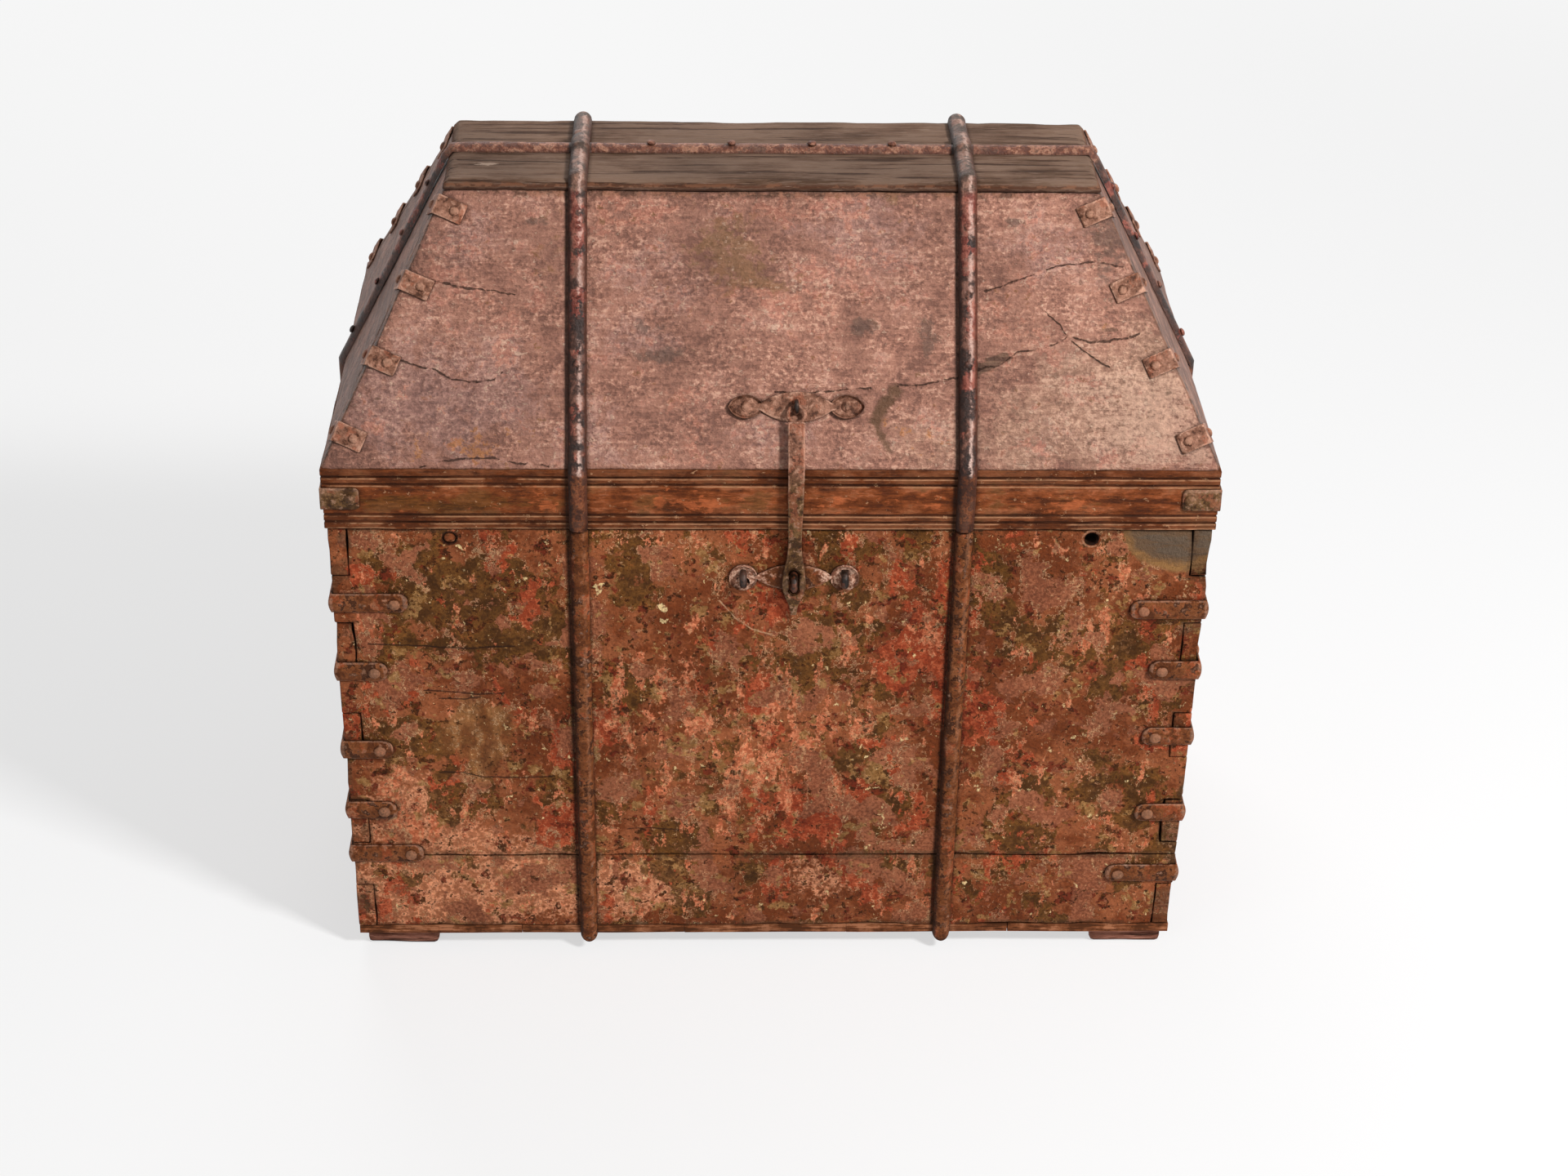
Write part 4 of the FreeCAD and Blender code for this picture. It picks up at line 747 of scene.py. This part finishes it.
def lid_iron():
    """Forged straps of the lid: rubbed and dark, with traces of red paint, painted shade on the left
    flank and a painted highlight right of the crest.
    """
    f = Finish("rubbed_iron")
    mid = f.cloud(0.020, 6, 0.64, seed=1)
    chips = f.cloud(0.007, 5, 0.66, seed=2)
    fine = f.cloud(0.0024, 3, 0.65, seed=3)
    red = f.cloud(0.026, 6, 0.64, seed=4)
    slope = (f.z - EAVE) / (TOP - EAVE)
    f.colour = f.bands(mid * 0.7 + chips * 0.4,
                       (-0.9, (38, 20, 13)), (0.0, (58, 32, 22)), (0.9, (80, 46, 34)),
                       (3.0, (108, 66, 52)), soft=0.2)
    reddened = f.step(red + f.step(slope, 0.55, 0.35) * 0.9, 1.0, 0.10)
    f.lay(f.coat((112, 46, 33), (148, 80, 64), chips, 0.0, 0.8), reddened * 0.75)
    on_top = f.step(f.z, TOP - 0.006, 0.004)
    f.lay(f.coat((74, 58, 48), (112, 92, 78), mid + chips * 0.4, 0.0, 1.0), on_top * 0.85)
    ridge = f.step(abs(abs(f.x) - STRAP_X), 0.0105, 0.0005) * on_top
    rust = f.bands(mid * 0.5 + chips * 0.7, (-0.6, (86, 44, 28)), (0.5, (114, 66, 46)),
                   (3.0, (156, 108, 84)), soft=0.2)
    f.lay(rust, ridge * 0.9)
    on_skirt_part = f.under(f.z, EAVE - 0.002, 0.003)
    brown = f.bands(mid * 0.7 + chips * 0.5, (-0.5, (62, 28, 8)), (0.5, (96, 48, 20)),
                    (3.0, (124, 70, 38)))
    f.lay(brown, on_skirt_part * 0.9)
    bare = f.step(mid * 0.5 - red * 0.5 + chips * 0.5, 1.0, 0.15)
    f.lay((56, 34, 26), bare * 0.7)
    height = f.lid_height()
    crest = f.step(height + chips * 0.0004, 0.0052, 0.0007)
    f.lay((176, 122, 102), crest * f.step(mid, 0.4, 0.8) * (1 - on_skirt_part) * 0.3)
    foot = f.under(height + chips * 0.0003, 0.0014, 0.0010)
    f.lay((76, 36, 14), foot * 0.7)
    on_strap = f.under(abs(f.across_strap()), 0.0108, 0.0003)
    # Painted shade on the strap's left flank, which faces away from the light.
    left = on_strap * f.under(f.across_strap() + chips * 0.0004, -0.0058, 0.0016)
    f.lay((30, 12, 6), left * 0.8)
    # Painted highlight: a pale glint just right of the strap's crest, brighter towards the eave.
    rubbed = f.under(abs(f.across_strap() - 0.0026 + chips * 0.0006), 0.0016, 0.0012)
    rubbed = on_strap * rubbed * (1 - on_skirt_part)
    low = f.under(slope, 0.10, 0.14)
    rubbed = rubbed * f.step(mid + chips * 0.5 + low * 1.6 - bare * 0.8, -0.2, 0.9)
    f.lay((206, 172, 158), rubbed * (0.5 + low * 0.35))
    right = on_strap * f.step(f.across_strap() + chips * 0.0004, 0.0064, 0.0012)
    f.lay((66, 32, 18), right * 0.7)
    f.shade(1.0 + fine * 0.07)
    # Painted shade in crevices.
    f.lay(PAINTED_SHADE, f.crevice_shade() * 0.6)
    relief = mid * 0.10 + chips * 0.10 + fine * 0.06
    roughness = 0.36 + on_skirt_part * 0.18 + on_top * 0.16 + bare * 0.06
    return f.done(roughness, relief, 0.0010, metallic=crest * 0.2, specular=0.32)


def box_iron():
    """Straps, clips and plates of the box, painted over with the boards and chipped."""
    f = Finish("painted_iron")
    mid = f.cloud(0.024, 7, 0.64, seed=11)
    chips = f.cloud(0.008, 6, 0.66, seed=12)
    fine = f.cloud(0.0024, 3, 0.65, seed=13)
    other = f.cloud(0.030, 7, 0.64, seed=14)
    f.colour = f.bands(mid * 0.7 + chips * 0.5,
                       (-0.9, (88, 44, 16)), (-0.1, (110, 59, 27)), (0.7, (124, 70, 36)),
                       (3.0, (140, 84, 50)), soft=0.12)
    f.lay((142, 68, 36), f.step(other + chips * 0.3, 1.1, 0.15) * 0.8)
    f.lay((160, 104, 72), f.step(chips * 0.7 + other * 0.5, 1.3, 0.2) * 0.6)
    bare = f.step(mid * 0.6 + chips * 0.8 - other * 0.3, 1.1, 0.12)
    f.lay((46, 21, 8), bare * 0.85)
    height = f.past_walls()
    on_strap = f.under(abs(f.across_strap()), 0.0100, 0.0003)
    # Painted shade on the strap's left flank, which faces away from the light.
    left = on_strap * f.under(f.across_strap() + chips * 0.0004, -0.0062, 0.0014)
    f.lay((34, 15, 6), left * 0.75)
    # Painted highlight along the right side of each strap, which faces the light.
    right = on_strap * f.under(abs(f.across_strap() - 0.0042 + chips * 0.0006), 0.0014, 0.0010)
    f.lay((158, 106, 76), right * f.step(mid, -0.4, 0.8) * 0.4)
    worn = f.step(f.arris(), 0.75, 0.15) * f.step(chips, -0.6, 0.6)
    f.lay((176, 132, 108), worn * 0.45)
    lobes = [on_front(22 + way * 49, 433) for way in (-1, 1)]
    rubbed = f.spots([(lobe, (0.019, 0.02, 0.014), 1.5) for lobe in lobes], f.place)
    rubbed = f.step(rubbed + chips * 0.10, 0.4, 0.25)
    f.lay(f.coat((168, 114, 90), (214, 172, 148), fine + chips * 0.5, 0.3, 0.8), rubbed * 0.95)
    foot = f.under(height, 0.0008, 0.0006)
    f.lay((40, 18, 7), foot * 0.7)
    heads = (1 - on_strap) * f.step(height + chips * 0.0003, 0.0050, 0.0005)
    f.lay((168, 120, 92), heads * 0.6)
    f.shade(0.95 + fine * 0.08)
    # Painted shade in crevices, kept off the rubbed lobes.
    f.lay(PAINTED_SHADE, f.crevice_shade() * (1 - rubbed * 0.85) * 0.75)
    relief = chips * 0.08 + mid * 0.08 - bare * 0.5 + fine * 0.08
    return f.done(0.58 + bare * 0.05, relief, 0.0010, metallic=bare * 0.2, specular=0.14)


def clip_iron():
    """Small iron of the lid: hip clips, skirt clips, plate, nails and hasp."""
    f = Finish("small_iron")
    mid = f.cloud(0.016, 6, 0.64, seed=21)
    chips = f.cloud(0.006, 5, 0.66, seed=22)
    fine = f.cloud(0.0022, 3, 0.65, seed=23)
    f.colour = f.bands(mid * 0.6 + chips * 0.5,
                       (-1.0, (104, 66, 49)), (-0.1, (124, 83, 64)), (0.7, (140, 97, 77)),
                       (3.0, (158, 112, 91)), soft=0.25)
    low = f.bands(mid * 0.6 + chips * 0.5, (-0.8, (68, 42, 18)), (0.2, (90, 60, 31)),
                  (3.0, (118, 84, 50)), soft=0.25)
    f.colour = f.mix(low, f.colour, f.step(f.z + mid * 0.005, RIM + 0.058, 0.024))
    f.lay((156, 88, 62), f.step(f.cloud(0.018, 6, 0.64, seed=24), 1.1, 0.3) * 0.5)
    f.lay((190, 146, 122), f.step(chips, 1.6, 0.3) * 0.4)
    f.lay((58, 32, 20), f.under(chips + mid * 0.4, -2.0, 0.3) * 0.7)
    high = f.step(f.z, RIM + 0.05, 0.03)
    worn = f.step(f.arris(), 0.75, 0.15) * f.step(mid, -0.6, 0.6) * (0.2 + high * 0.8)
    f.lay((190, 148, 126), worn * 0.45)
    heads = f.step(f.lid_height() + chips * 0.0002, 0.0038, 0.0005)
    heads = heads * f.step(abs(f.x - HASP_X), 0.025, 0.001)
    f.lay((176, 130, 106), heads * high * 0.6)
    f.shade(0.86 + high * 0.14 + fine * 0.07)
    # Painted shade in crevices.
    f.lay(PAINTED_SHADE, f.crevice_shade(0.005, 0.5) * 0.8)
    relief = mid * 0.10 + chips * 0.12 + fine * 0.06
    return f.done(0.52 - worn * 0.1, relief, 0.0008, metallic=worn * 0.3, specular=0.16)


def dark_iron():
    """Bare iron of the staples and pins."""
    f = Finish("dark_iron")
    mid = f.cloud(0.010, 5, 0.64, seed=31)
    fine = f.cloud(0.0022, 3, 0.65, seed=32)
    f.colour = f.bands(mid, (-0.6, (24, 15, 10)), (0.6, (40, 26, 19)), (3.0, (70, 48, 38)), soft=0.3)
    f.lay((110, 56, 32), f.step(f.cloud(0.008, 5, 0.64, seed=33), 1.2, 0.3) * 0.5)
    f.shade(1.0 + fine * 0.08)
    relief = mid * 0.08 + fine * 0.06
    return f.done(0.36 + f.step(mid, 0.0, 1.5) * 0.12, relief, 0.0006, metallic=0.2, specular=0.35)


# Pieces

STRAP_HALF = 0.0092
STRAP_THICK = 0.006
STRAP_FOOT = 0.0006
STRAP_CREST = 0.0066
CLIP_THICK = 0.0022
CLIP_MIDDLE = 0.0012
CLIP_EDGE = 0.0008
CLIP_STEP = 0.007
CLIP_FINE = 0.0025
CHIP_SIZE = 0.03
SLOPE_SKIN = 0.0012
HIP_ROUND = 0.010
HIP_CUTS = (0.002, 0.004, 0.007, 0.010)
HIP_DROP = 0.0028
EAVE_ROUND = 0.006
EAVE_DROP = 0.0014
HEAD_DENT = 0.0003
FULL_TURN = 6.28
AXES = ((1, 0, 0), (0, 1, 0), (0, 0, 1))
STEP = 0.013
# Half widths of the hasp's leaf, in millimetres, at heights in metres: as in the CAD, and as forged.
LEAF_PLAIN = ((0.419, 2.7), (0.4365, 9.0), (0.4415, 13.5), (0.479, 13.5), (0.496, 6.3), (0.513, 6.6))
LEAF_FORGED = ((0.419, 2.9), (0.425, 3.1), (0.431, 4.8), (0.438, 7.8), (0.446, 10.3), (0.456, 11.2),
               (0.466, 10.4), (0.476, 8.7), (0.486, 7.1), (0.500, 6.3))


def merged(node):
    """The CAD node's shape as one closed mesh with whole faces."""
    bm = bmesh.new()
    bm.from_mesh(frame["nodes"][node].data)
    bmesh.ops.remove_doubles(bm, verts=bm.verts, dist=1e-5)
    bmesh.ops.dissolve_limit(bm, angle_limit=math.radians(0.5), verts=bm.verts, edges=bm.edges)
    bm.verts.layers.float.new("arris")
    bm.faces.layers.int.new("worn")
    return bm


def round_over(bm, width, chosen, segments=2):
    """Rounds the chosen edges and marks them as worn."""
    made = bmesh.ops.bevel(bm, geom=chosen, offset=width, offset_type="OFFSET", segments=segments,
                           profile=0.5, affect="EDGES", material=-1, clamp_overlap=False)
    layer = bm.faces.layers.int["worn"]
    for face in made["faces"]:
        face[layer] = 1


def arrises(bm, angle=30, shortest=0.004):
    """The outside edges of a piece."""
    return [edge for edge in bm.edges
            if edge.is_manifold and edge.is_convex and edge.calc_length() > shortest
            and edge.calc_face_angle() > math.radians(angle)]


def slices(bm, axis, step, inside=None):
    """Cuts across a piece every step along an axis, so that its faces can be uneven."""
    axis = Vector(axis).normalized()
    marks = [axis.dot(vert.co) for vert in bm.verts]
    low, high = min(marks), max(marks)
    count = max(1, int((high - low) / step))
    for number in range(1, count):
        at = axis * (low + (high - low) * number / count)
        geometry = bm.verts[:] + bm.edges[:] + bm.faces[:]
        if inside:
            faces = [face for face in bm.faces if inside(face.calc_center_median())]
            edges = dict.fromkeys(edge for face in faces for edge in face.edges)
            verts = dict.fromkeys(vert for face in faces for vert in face.verts)
            geometry = list(verts) + list(edges) + faces
        bmesh.ops.bisect_plane(bm, geom=geometry, plane_co=at, plane_no=axis, dist=1e-6)


def uneven(point, size, seed):
    """Smooth unevenness between -1 and 1, about size metres from bump to bump."""
    return noise.noise(point / size + Vector((seed * 7.31, seed * 3.17, seed * 5.71)))


def weather(bm, seed, warp=0.0006, warp_size=0.12, dent=0.0002, dent_size=0.02, chip=0.0):
    """Warps and dents a piece, and eats into its worn edges."""
    bm.normal_update()
    layer = bm.verts.layers.float["arris"]
    rounded = bm.faces.layers.int["worn"]
    moves = []
    for vert in bm.verts:
        vert[layer] = float(any(face[rounded] for face in vert.link_faces))
        out = warp * uneven(vert.co, warp_size, seed) + dent * uneven(vert.co, dent_size, seed + 1)
        if vert[layer] > 0.5:
            out -= chip * max(0.0, uneven(vert.co, CHIP_SIZE, seed + 2) + 0.1)
        moves.append((vert, vert.normal * out))
    for vert, move in moves:
        vert.co += move


def settle(bm, node, finish, sharp=42):
    """The finished piece, in place of its CAD node and riding with it."""
    mesh = bpy.data.meshes.new("worn_" + node)
    bm.to_mesh(mesh)
    bm.free()
    mesh.materials.append(finish)
    mesh.shade_smooth()
    mesh.set_sharp_from_angle(angle=math.radians(sharp))
    piece = bpy.data.objects.new(mesh.name, mesh)
    bpy.context.scene.collection.objects.link(piece)
    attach(piece, frame["nodes"][node]["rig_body"])
    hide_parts(node)


def board(node, finish, seed, chip, axes, width=0.0016, step=STEP):
    """A board with rounded, chipped arrises and an uneven face."""
    bm = merged(node)
    round_over(bm, width, arrises(bm))
    for axis in axes:
        slices(bm, axis, step)
    weather(bm, seed, chip=chip)
    settle(bm, node, finish)


def slope(node, seed, axes, own, other, outs):
    """A sloping board of the lid, rounded along the hips and the eave."""
    bm = merged(node)
    round_over(bm, 0.0010, arrises(bm))
    for axis in axes:
        slices(bm, axis, STEP)
    planes = [(out, Vector((0, 0, EAVE)) - out * depth + reach)
              for out, reach in outs for depth in HIP_CUTS]
    planes += [(Vector((0, 0, 1)), Vector((0, 0, EAVE + depth))) for depth in HIP_CUTS[:2]]
    for out, at in planes:
        bmesh.ops.bisect_plane(bm, geom=bm.verts[:] + bm.edges[:] + bm.faces[:], plane_co=at,
                               plane_no=out, dist=1e-6)
    bm.normal_update()
    for vert in bm.verts:
        if own(vert.co) > -SLOPE_SKIN:
            hip = max(0.0, 1 + other(vert.co) / HIP_ROUND)
            eave = max(0.0, 1 - (vert.co.z - EAVE) / EAVE_ROUND)
            vert.co -= outward(vert.co, own) * (HIP_DROP * hip * hip + EAVE_DROP * eave * eave)
    weather(bm, seed, warp=0.0009, chip=0.0008)
    settle(bm, node, LID_PAINT)


def outward(point, own):
    """The outward direction of the slope that a point lies on."""
    if own is over_front:
        return Vector((0, math.copysign(-OUT_FRONT.y, point.y), OUT_FRONT.z))
    return Vector((math.copysign(OUT_SIDE.x, point.x), 0, OUT_SIDE.z))


def half_round(bm, faces, centre, rise):
    """Gives a strap along the faces a full round section, rise high."""
    for vert in bm.verts:
        heights = [out.dot(vert.co) - start for out, start in faces]
        top = max(heights)
        share = (vert.co.x - centre) / STRAP_HALF
        if not STRAP_FOOT < top < STRAP_CREST or abs(share) >= 1:
            continue
        way = Vector()
        for (out, start), height in zip(faces, heights):
            way += out * max(0.0, 1 - (top - height) / STRAP_THICK)
        vert.co += way.normalized() * max(0.0, rise * math.sqrt(1 - share * share) - top)


def strap(node, finish, seed, cuts, faces=(), centre=0.0, rise=0.0, swell=0.0):
    """A forged half-round strap, dented along its length."""
    bm = merged(node)
    for cut in cuts:
        slices(bm, *cut)
    if faces:
        half_round(bm, faces, centre, rise)
    bm.normal_update()
    for vert in bm.verts:
        vert.co += vert.normal * swell
    weather(bm, seed, warp=0.0005, warp_size=0.03, dent=0.0004, dent_size=0.010)
    settle(bm, node, finish, sharp=50)


def at_height(rows, height):
    """A width read off rows of (height, width)."""
    for (low, first), (high, last) in zip(rows, rows[1:]):
        if height <= high:
            share = max(0.0, (height - low) / (high - low))
            return first + (last - first) * share
    return rows[-1][1]


def leaf(bm):
    """Draws in the hasp's leaf to the rounded outline of a forged one."""
    for vert in bm.verts:
        if vert.co.z < LEAF_FORGED[-1][0]:
            drawn = at_height(LEAF_FORGED, vert.co.z) / at_height(LEAF_PLAIN, vert.co.z)
            vert.co.x = HASP_X + (vert.co.x - HASP_X) * drawn


def islands(bm):
    """The separate shapes of a mesh, each as a list of its points."""
    left = dict.fromkeys(bm.verts)
    while left:
        start = next(iter(left))
        del left[start]
        group, edge = [], [start]
        while edge:
            vert = edge.pop()
            group.append(vert)
            for link in vert.link_edges:
                other = link.other_vert(vert)
                if other in left:
                    del left[other]
                    edge.append(other)
        yield group


def crown(bm, rise):
    """Raises the middle of each clip of the box, so that it is rounded across."""
    bm.normal_update()
    for group in islands(bm):
        low, high = min(vert.co.z for vert in group), max(vert.co.z for vert in group)
        for vert in group:
            share = (2 * vert.co.z - low - high) / (high - low)
            if max(abs(vert.co.x) - WALL_X, abs(vert.co.y) - WALL_Y) > CLIP_MIDDLE:
                vert.co += vert.normal * rise * (1 - share * share)


def clip(node, finish, seed, corner=0.004, rounded=0.0, shape=None):
    """Bent iron clips with rounded ends, dented by the hammer."""
    bm = merged(node)
    ends = [edge for edge in bm.edges if edge.is_convex and edge.calc_length() < CLIP_THICK
            and edge.calc_face_angle() > math.radians(60)]
    round_over(bm, corner, ends, 3)
    for face in bm.faces:
        face[bm.faces.layers.int["worn"]] = 0
    round_over(bm, CLIP_EDGE, arrises(bm, 40, CLIP_EDGE))
    for axis in AXES:
        slices(bm, axis, CLIP_FINE if (rounded or shape) and axis[2] else CLIP_STEP)
    if rounded:
        crown(bm, rounded)
    if shape:
        shape(bm)
    weather(bm, seed, warp=0.0003, warp_size=0.03, dent=0.0003, dent_size=0.009)
    settle(bm, node, finish)


def nail_axis(points, ways):
    """Which way a nail points: the axis that its points stay closest to."""
    middle = sum(points, Vector()) / len(points)

    def spread(way):
        return max(((point - middle) - way * way.dot(point - middle)).length for point in points)
    return min(ways, key=spread), middle


def nails(node, finish, seed, head=0.0056, rise=0.0030, lift=0.0):
    """Hand-made nail heads where the CAD has them."""
    ways = [Vector(way) for way in ((0, -1, 0), (0, 1, 0), (1, 0, 0), (-1, 0, 0), (0, 0, 1), (0, 0, -1))]
    for side in (-1, 1):
        ways.append(Vector((0, side * -OUT_FRONT.y, OUT_FRONT.z)))
        ways.append(Vector((side * OUT_SIDE.x, 0, OUT_SIDE.z)))
    source = bmesh.new()
    source.from_mesh(frame["nodes"][node].data)
    bmesh.ops.remove_doubles(source, verts=source.verts, dist=1e-5)
    bm = bmesh.new()
    bm.verts.layers.float.new("arris")
    dice = random.Random(seed)
    for island in islands(source):
        group = [vert.co.copy() for vert in island]
        way, middle = nail_axis(group, ways)
        tip = max(way.dot(point) for point in group)
        seat = middle + way * (tip + lift - rise - way.dot(middle))
        turn = way.to_track_quat("Z", "Y").to_matrix().to_4x4()
        squash = [head * dice.uniform(0.9, 1.1) for _ in range(2)]
        squash.append(rise * dice.uniform(0.9, 1.05))
        shape = Matrix.Translation(seat) @ turn @ Matrix.Rotation(dice.uniform(0, FULL_TURN), 4, "Z")
        shape = shape @ Matrix.Diagonal((*squash, 1))
        made = bmesh.ops.create_uvsphere(bm, u_segments=10, v_segments=8, radius=1.0, matrix=shape)
        for vert in made["verts"]:
            vert.co += vert.co.normalized() * HEAD_DENT * uneven(vert.co, 0.004, seed)
    source.free()
    settle(bm, node, finish, sharp=60)


BOX_PAINT = box_paint()
LID_PAINT = lid_paint()
SKIRT_PAINT = skirt_paint()
TOP_WOOD = top_wood()
ROUGH_WOOD = rough_wood()
LID_IRON = lid_iron()
BOX_IRON = box_iron()
CLIP_IRON = clip_iron()
DARK_IRON = dark_iron()

ACROSS = (AXES[0], AXES[2])
DEEP = (AXES[1], AXES[2])
LEVEL = (AXES[0], AXES[1])
BOX_FACES = [(Vector((0, -1, 0)), WALL_Y), (Vector((0, 1, 0)), WALL_Y)]
LID_FACES = [(Vector((0, -1, 0)), EAVE_Y), (Vector((0, 0, 1)), TOP)]
END_HIPS, LONG_HIPS = [], []
for way in (-1, 1):
    over = Vector((0, way * -OUT_FRONT.y, OUT_FRONT.z))
    LID_FACES.append((over, over.dot(Vector((0, way * EAVE_Y, EAVE)))))
    LONG_HIPS.append((over, Vector((0, way * EAVE_Y, 0))))
    END_HIPS.append((Vector((way * OUT_SIDE.x, 0, OUT_SIDE.z)), Vector((way * EAVE_X, 0, 0))))

SIDES = (
    (1, ("front", "back"), ACROSS, over_front, over_side, END_HIPS),
    (11, ("left", "right"), DEEP, over_side, over_front, LONG_HIPS),
)
for first, pair, axes, own, other, hips in SIDES:
    for seed, side in enumerate(pair, first):
        board(side + "_upper_board", BOX_PAINT, seed, 0.0030, axes)
        board(side + "_lower_board", BOX_PAINT, seed + 2, 0.0030, axes)
        board("skirt_" + side, SKIRT_PAINT, seed + 4, 0.0010, axes, width=0.0009)
        slope("slope_" + side, seed + 6, axes, own, other, hips)
for number in range(1, 6):
    board(f"bottom_plank_{number}", ROUGH_WOOD, 20 + number, 0.0, LEVEL, width=0.0006)
for number, corner in enumerate(("front_left", "front_right", "back_left", "back_right")):
    board("foot_" + corner, ROUGH_WOOD, 30 + number, 0.002, AXES, width=0.005, step=0.009)
    clip("corner_clips_" + corner, BOX_IRON, 40 + number, corner=0.007, rounded=0.0024)
    clip("hip_clips_" + corner, CLIP_IRON, 50 + number, corner=0.0014)
clip("skirt_clips", CLIP_IRON, 60)
board("top_board", TOP_WOOD, 61, 0.0015, LEVEL, width=0.003)
for number, side in enumerate(("left", "right")):
    centre = STRAP_X * (2 * number - 1)
    strap("front_strap_" + side, BOX_IRON, 70 + number,
          [((1, 0, 0), 0.0016), ((0, 0, 1), 0.008)], BOX_FACES, centre, 0.0074)
    strap("hinge_strap_" + side, BOX_IRON, 72 + number, [((0, 0, 1), 0.008)])
    strap("lid_strap_" + side, LID_IRON, 74 + number,
          [((1, 0, 0), 0.0016), ((0, 0, 1), 0.009),
           ((0, 1, 0), 0.009, lambda at: at.z > TOP - 0.004)], LID_FACES, centre, 0.0084)
    strap("hinge_pin_" + side, DARK_IRON, 76 + number, [((1, 0, 0), 0.006)])
    strap("side_staple_" + side, DARK_IRON, 78 + number, [((0, 1, 0), 0.004)], swell=0.0013)
strap("ridge_strap", LID_IRON, 80,
      [((0, 0, 1), 0.009), ((1, 0, 0), 0.009, lambda at: at.z > TOP - 0.004)])
strap("lock_staple", DARK_IRON, 81, [((0, 1, 0), 0.004)], swell=0.0006)
strap("hasp_eye_staple", DARK_IRON, 82, [((0, 1, 0), 0.004)])
clip("lock_plate", BOX_IRON, 83)
clip("hasp_plate", CLIP_IRON, 84)
clip("hasp", CLIP_IRON, 85, shape=leaf)
clip("hole_plug", BOX_PAINT, 86)
nails("front_strap_nails", BOX_IRON, 90, lift=0.0014)
nails("hinge_strap_nails", BOX_IRON, 91)
nails("corner_clip_nails", BOX_IRON, 92, head=0.0062, lift=0.0030)
nails("plank_nails", BOX_IRON, 93)
nails("skirt_clip_nails", CLIP_IRON, 95, head=0.0060, lift=0.0012)
nails("hip_clip_nails", CLIP_IRON, 96, head=0.0050, lift=0.0008)
nails("lid_strap_nails", LID_IRON, 97, head=0.0042, rise=0.0024, lift=0.0016)
nails("hasp_plate_nails", CLIP_IRON, 98)


# Stage, light and camera

def seen_directly(f):
    """1 for rays that show the background itself."""
    def ray(name):
        return f.node("ShaderNodeLightPath", output=name)
    return ray("Is Camera Ray").most(ray("Is Glossy Ray")).most(ray("Is Transmission Ray"))


def floor():
    """A pale floor that keeps the shadow and fades to white away from the chest."""
    bm = bmesh.new()
    bmesh.ops.create_grid(bm, x_segments=1, y_segments=1, size=9.0)
    mesh = bpy.data.meshes.new("floor")
    bm.to_mesh(mesh)
    bm.free()
    f = Finish("floor")
    lit = f.node("ShaderNodeBsdfDiffuse", {}, {"Color": (0.86, 0.86, 0.86, 1.0)})
    glow = f.node("ShaderNodeEmission", {}, {"Color": (1.0, 1.0, 1.0, 1.0), "Strength": 1.0})
    away = f.step(f.vector("LENGTH", f.place, output="Value"), 3.0, 1.6)
    both = f.node("ShaderNodeMixShader", {}, {0: seen_directly(f) * (0.6 + away * 0.4), 1: lit, 2: glow})
    f.node("ShaderNodeOutputMaterial", {}, {"Surface": both})
    mesh.materials.append(f.material)
    piece = bpy.data.objects.new("floor", mesh)
    bpy.context.scene.collection.objects.link(piece)
    piece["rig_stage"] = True


class Sky(Finish):
    """The world's light, with a white background."""

    def __init__(self):
        world = bpy.data.worlds.new("studio")
        world.use_nodes = True
        bpy.context.scene.world = world
        self.tree = world.node_tree
        self.tree.nodes.clear()
        soft = self.node("ShaderNodeBackground", {}, {"Color": (1.0, 1.0, 1.0, 1.0), "Strength": 0.21})
        white = self.node("ShaderNodeBackground", {}, {"Color": (1.0, 1.0, 1.0, 1.0), "Strength": 1.0})
        both = self.node("ShaderNodeMixShader", {}, {0: seen_directly(self), 1: soft, 2: white})
        self.node("ShaderNodeOutputWorld", {}, {"Surface": both})


def lamp(name, at, aim, size, power):
    """A soft square lamp, turned towards a point."""
    light = bpy.data.lights.new(name, "AREA")
    light.shape = "SQUARE"
    light.size = size
    light.energy = power
    piece = bpy.data.objects.new(name, light)
    piece.location = at
    piece.rotation_euler = (Vector(aim) - Vector(at)).to_track_quat("-Z", "Y").to_euler()
    bpy.context.scene.collection.objects.link(piece)


CAMERA_AT = (-0.0659, -2.5230, 1.9049)
CAMERA_ANGLES = (32.35, 1.954, 1.105)  # down, to the right, and turned about the view
CAMERA_LENS = 64.74


def camera():
    """The photograph's viewpoint."""
    pitch, yaw, roll = (math.radians(angle) for angle in CAMERA_ANGLES)
    ahead = Vector((math.sin(yaw) * math.cos(pitch), math.cos(yaw) * math.cos(pitch), -math.sin(pitch)))
    right = Vector((math.cos(yaw), -math.sin(yaw), 0.0))
    up = right.cross(ahead)
    tilt = Matrix.Rotation(-roll, 3, ahead)
    right, up = tilt @ right, tilt @ up
    lens = bpy.data.cameras.new("camera")
    lens.sensor_width = 36.0
    lens.sensor_fit = "HORIZONTAL"
    lens.lens = CAMERA_LENS
    piece = bpy.data.objects.new("camera", lens)
    turn = Matrix((right, up, -ahead)).transposed().to_4x4()
    piece.matrix_world = Matrix.Translation(CAMERA_AT) @ turn
    bpy.context.scene.collection.objects.link(piece)
    bpy.context.scene.camera = piece


floor()
Sky()
lamp("key", (2.3, -2.0, 3.0), (0.0, -0.1, 0.45), 0.6, 160)
lamp("fill", (-2.4, -2.4, 1.7), (0.0, -0.1, 0.4), 2.2, 12)
lamp("back", (-0.6, 2.6, 2.4), (0.0, 0.1, 0.4), 2.0, 40)
camera()
bpy.context.scene.view_settings.view_transform = "Standard"

[[list(corner) for corner in box] for box in (cad_box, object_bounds())]
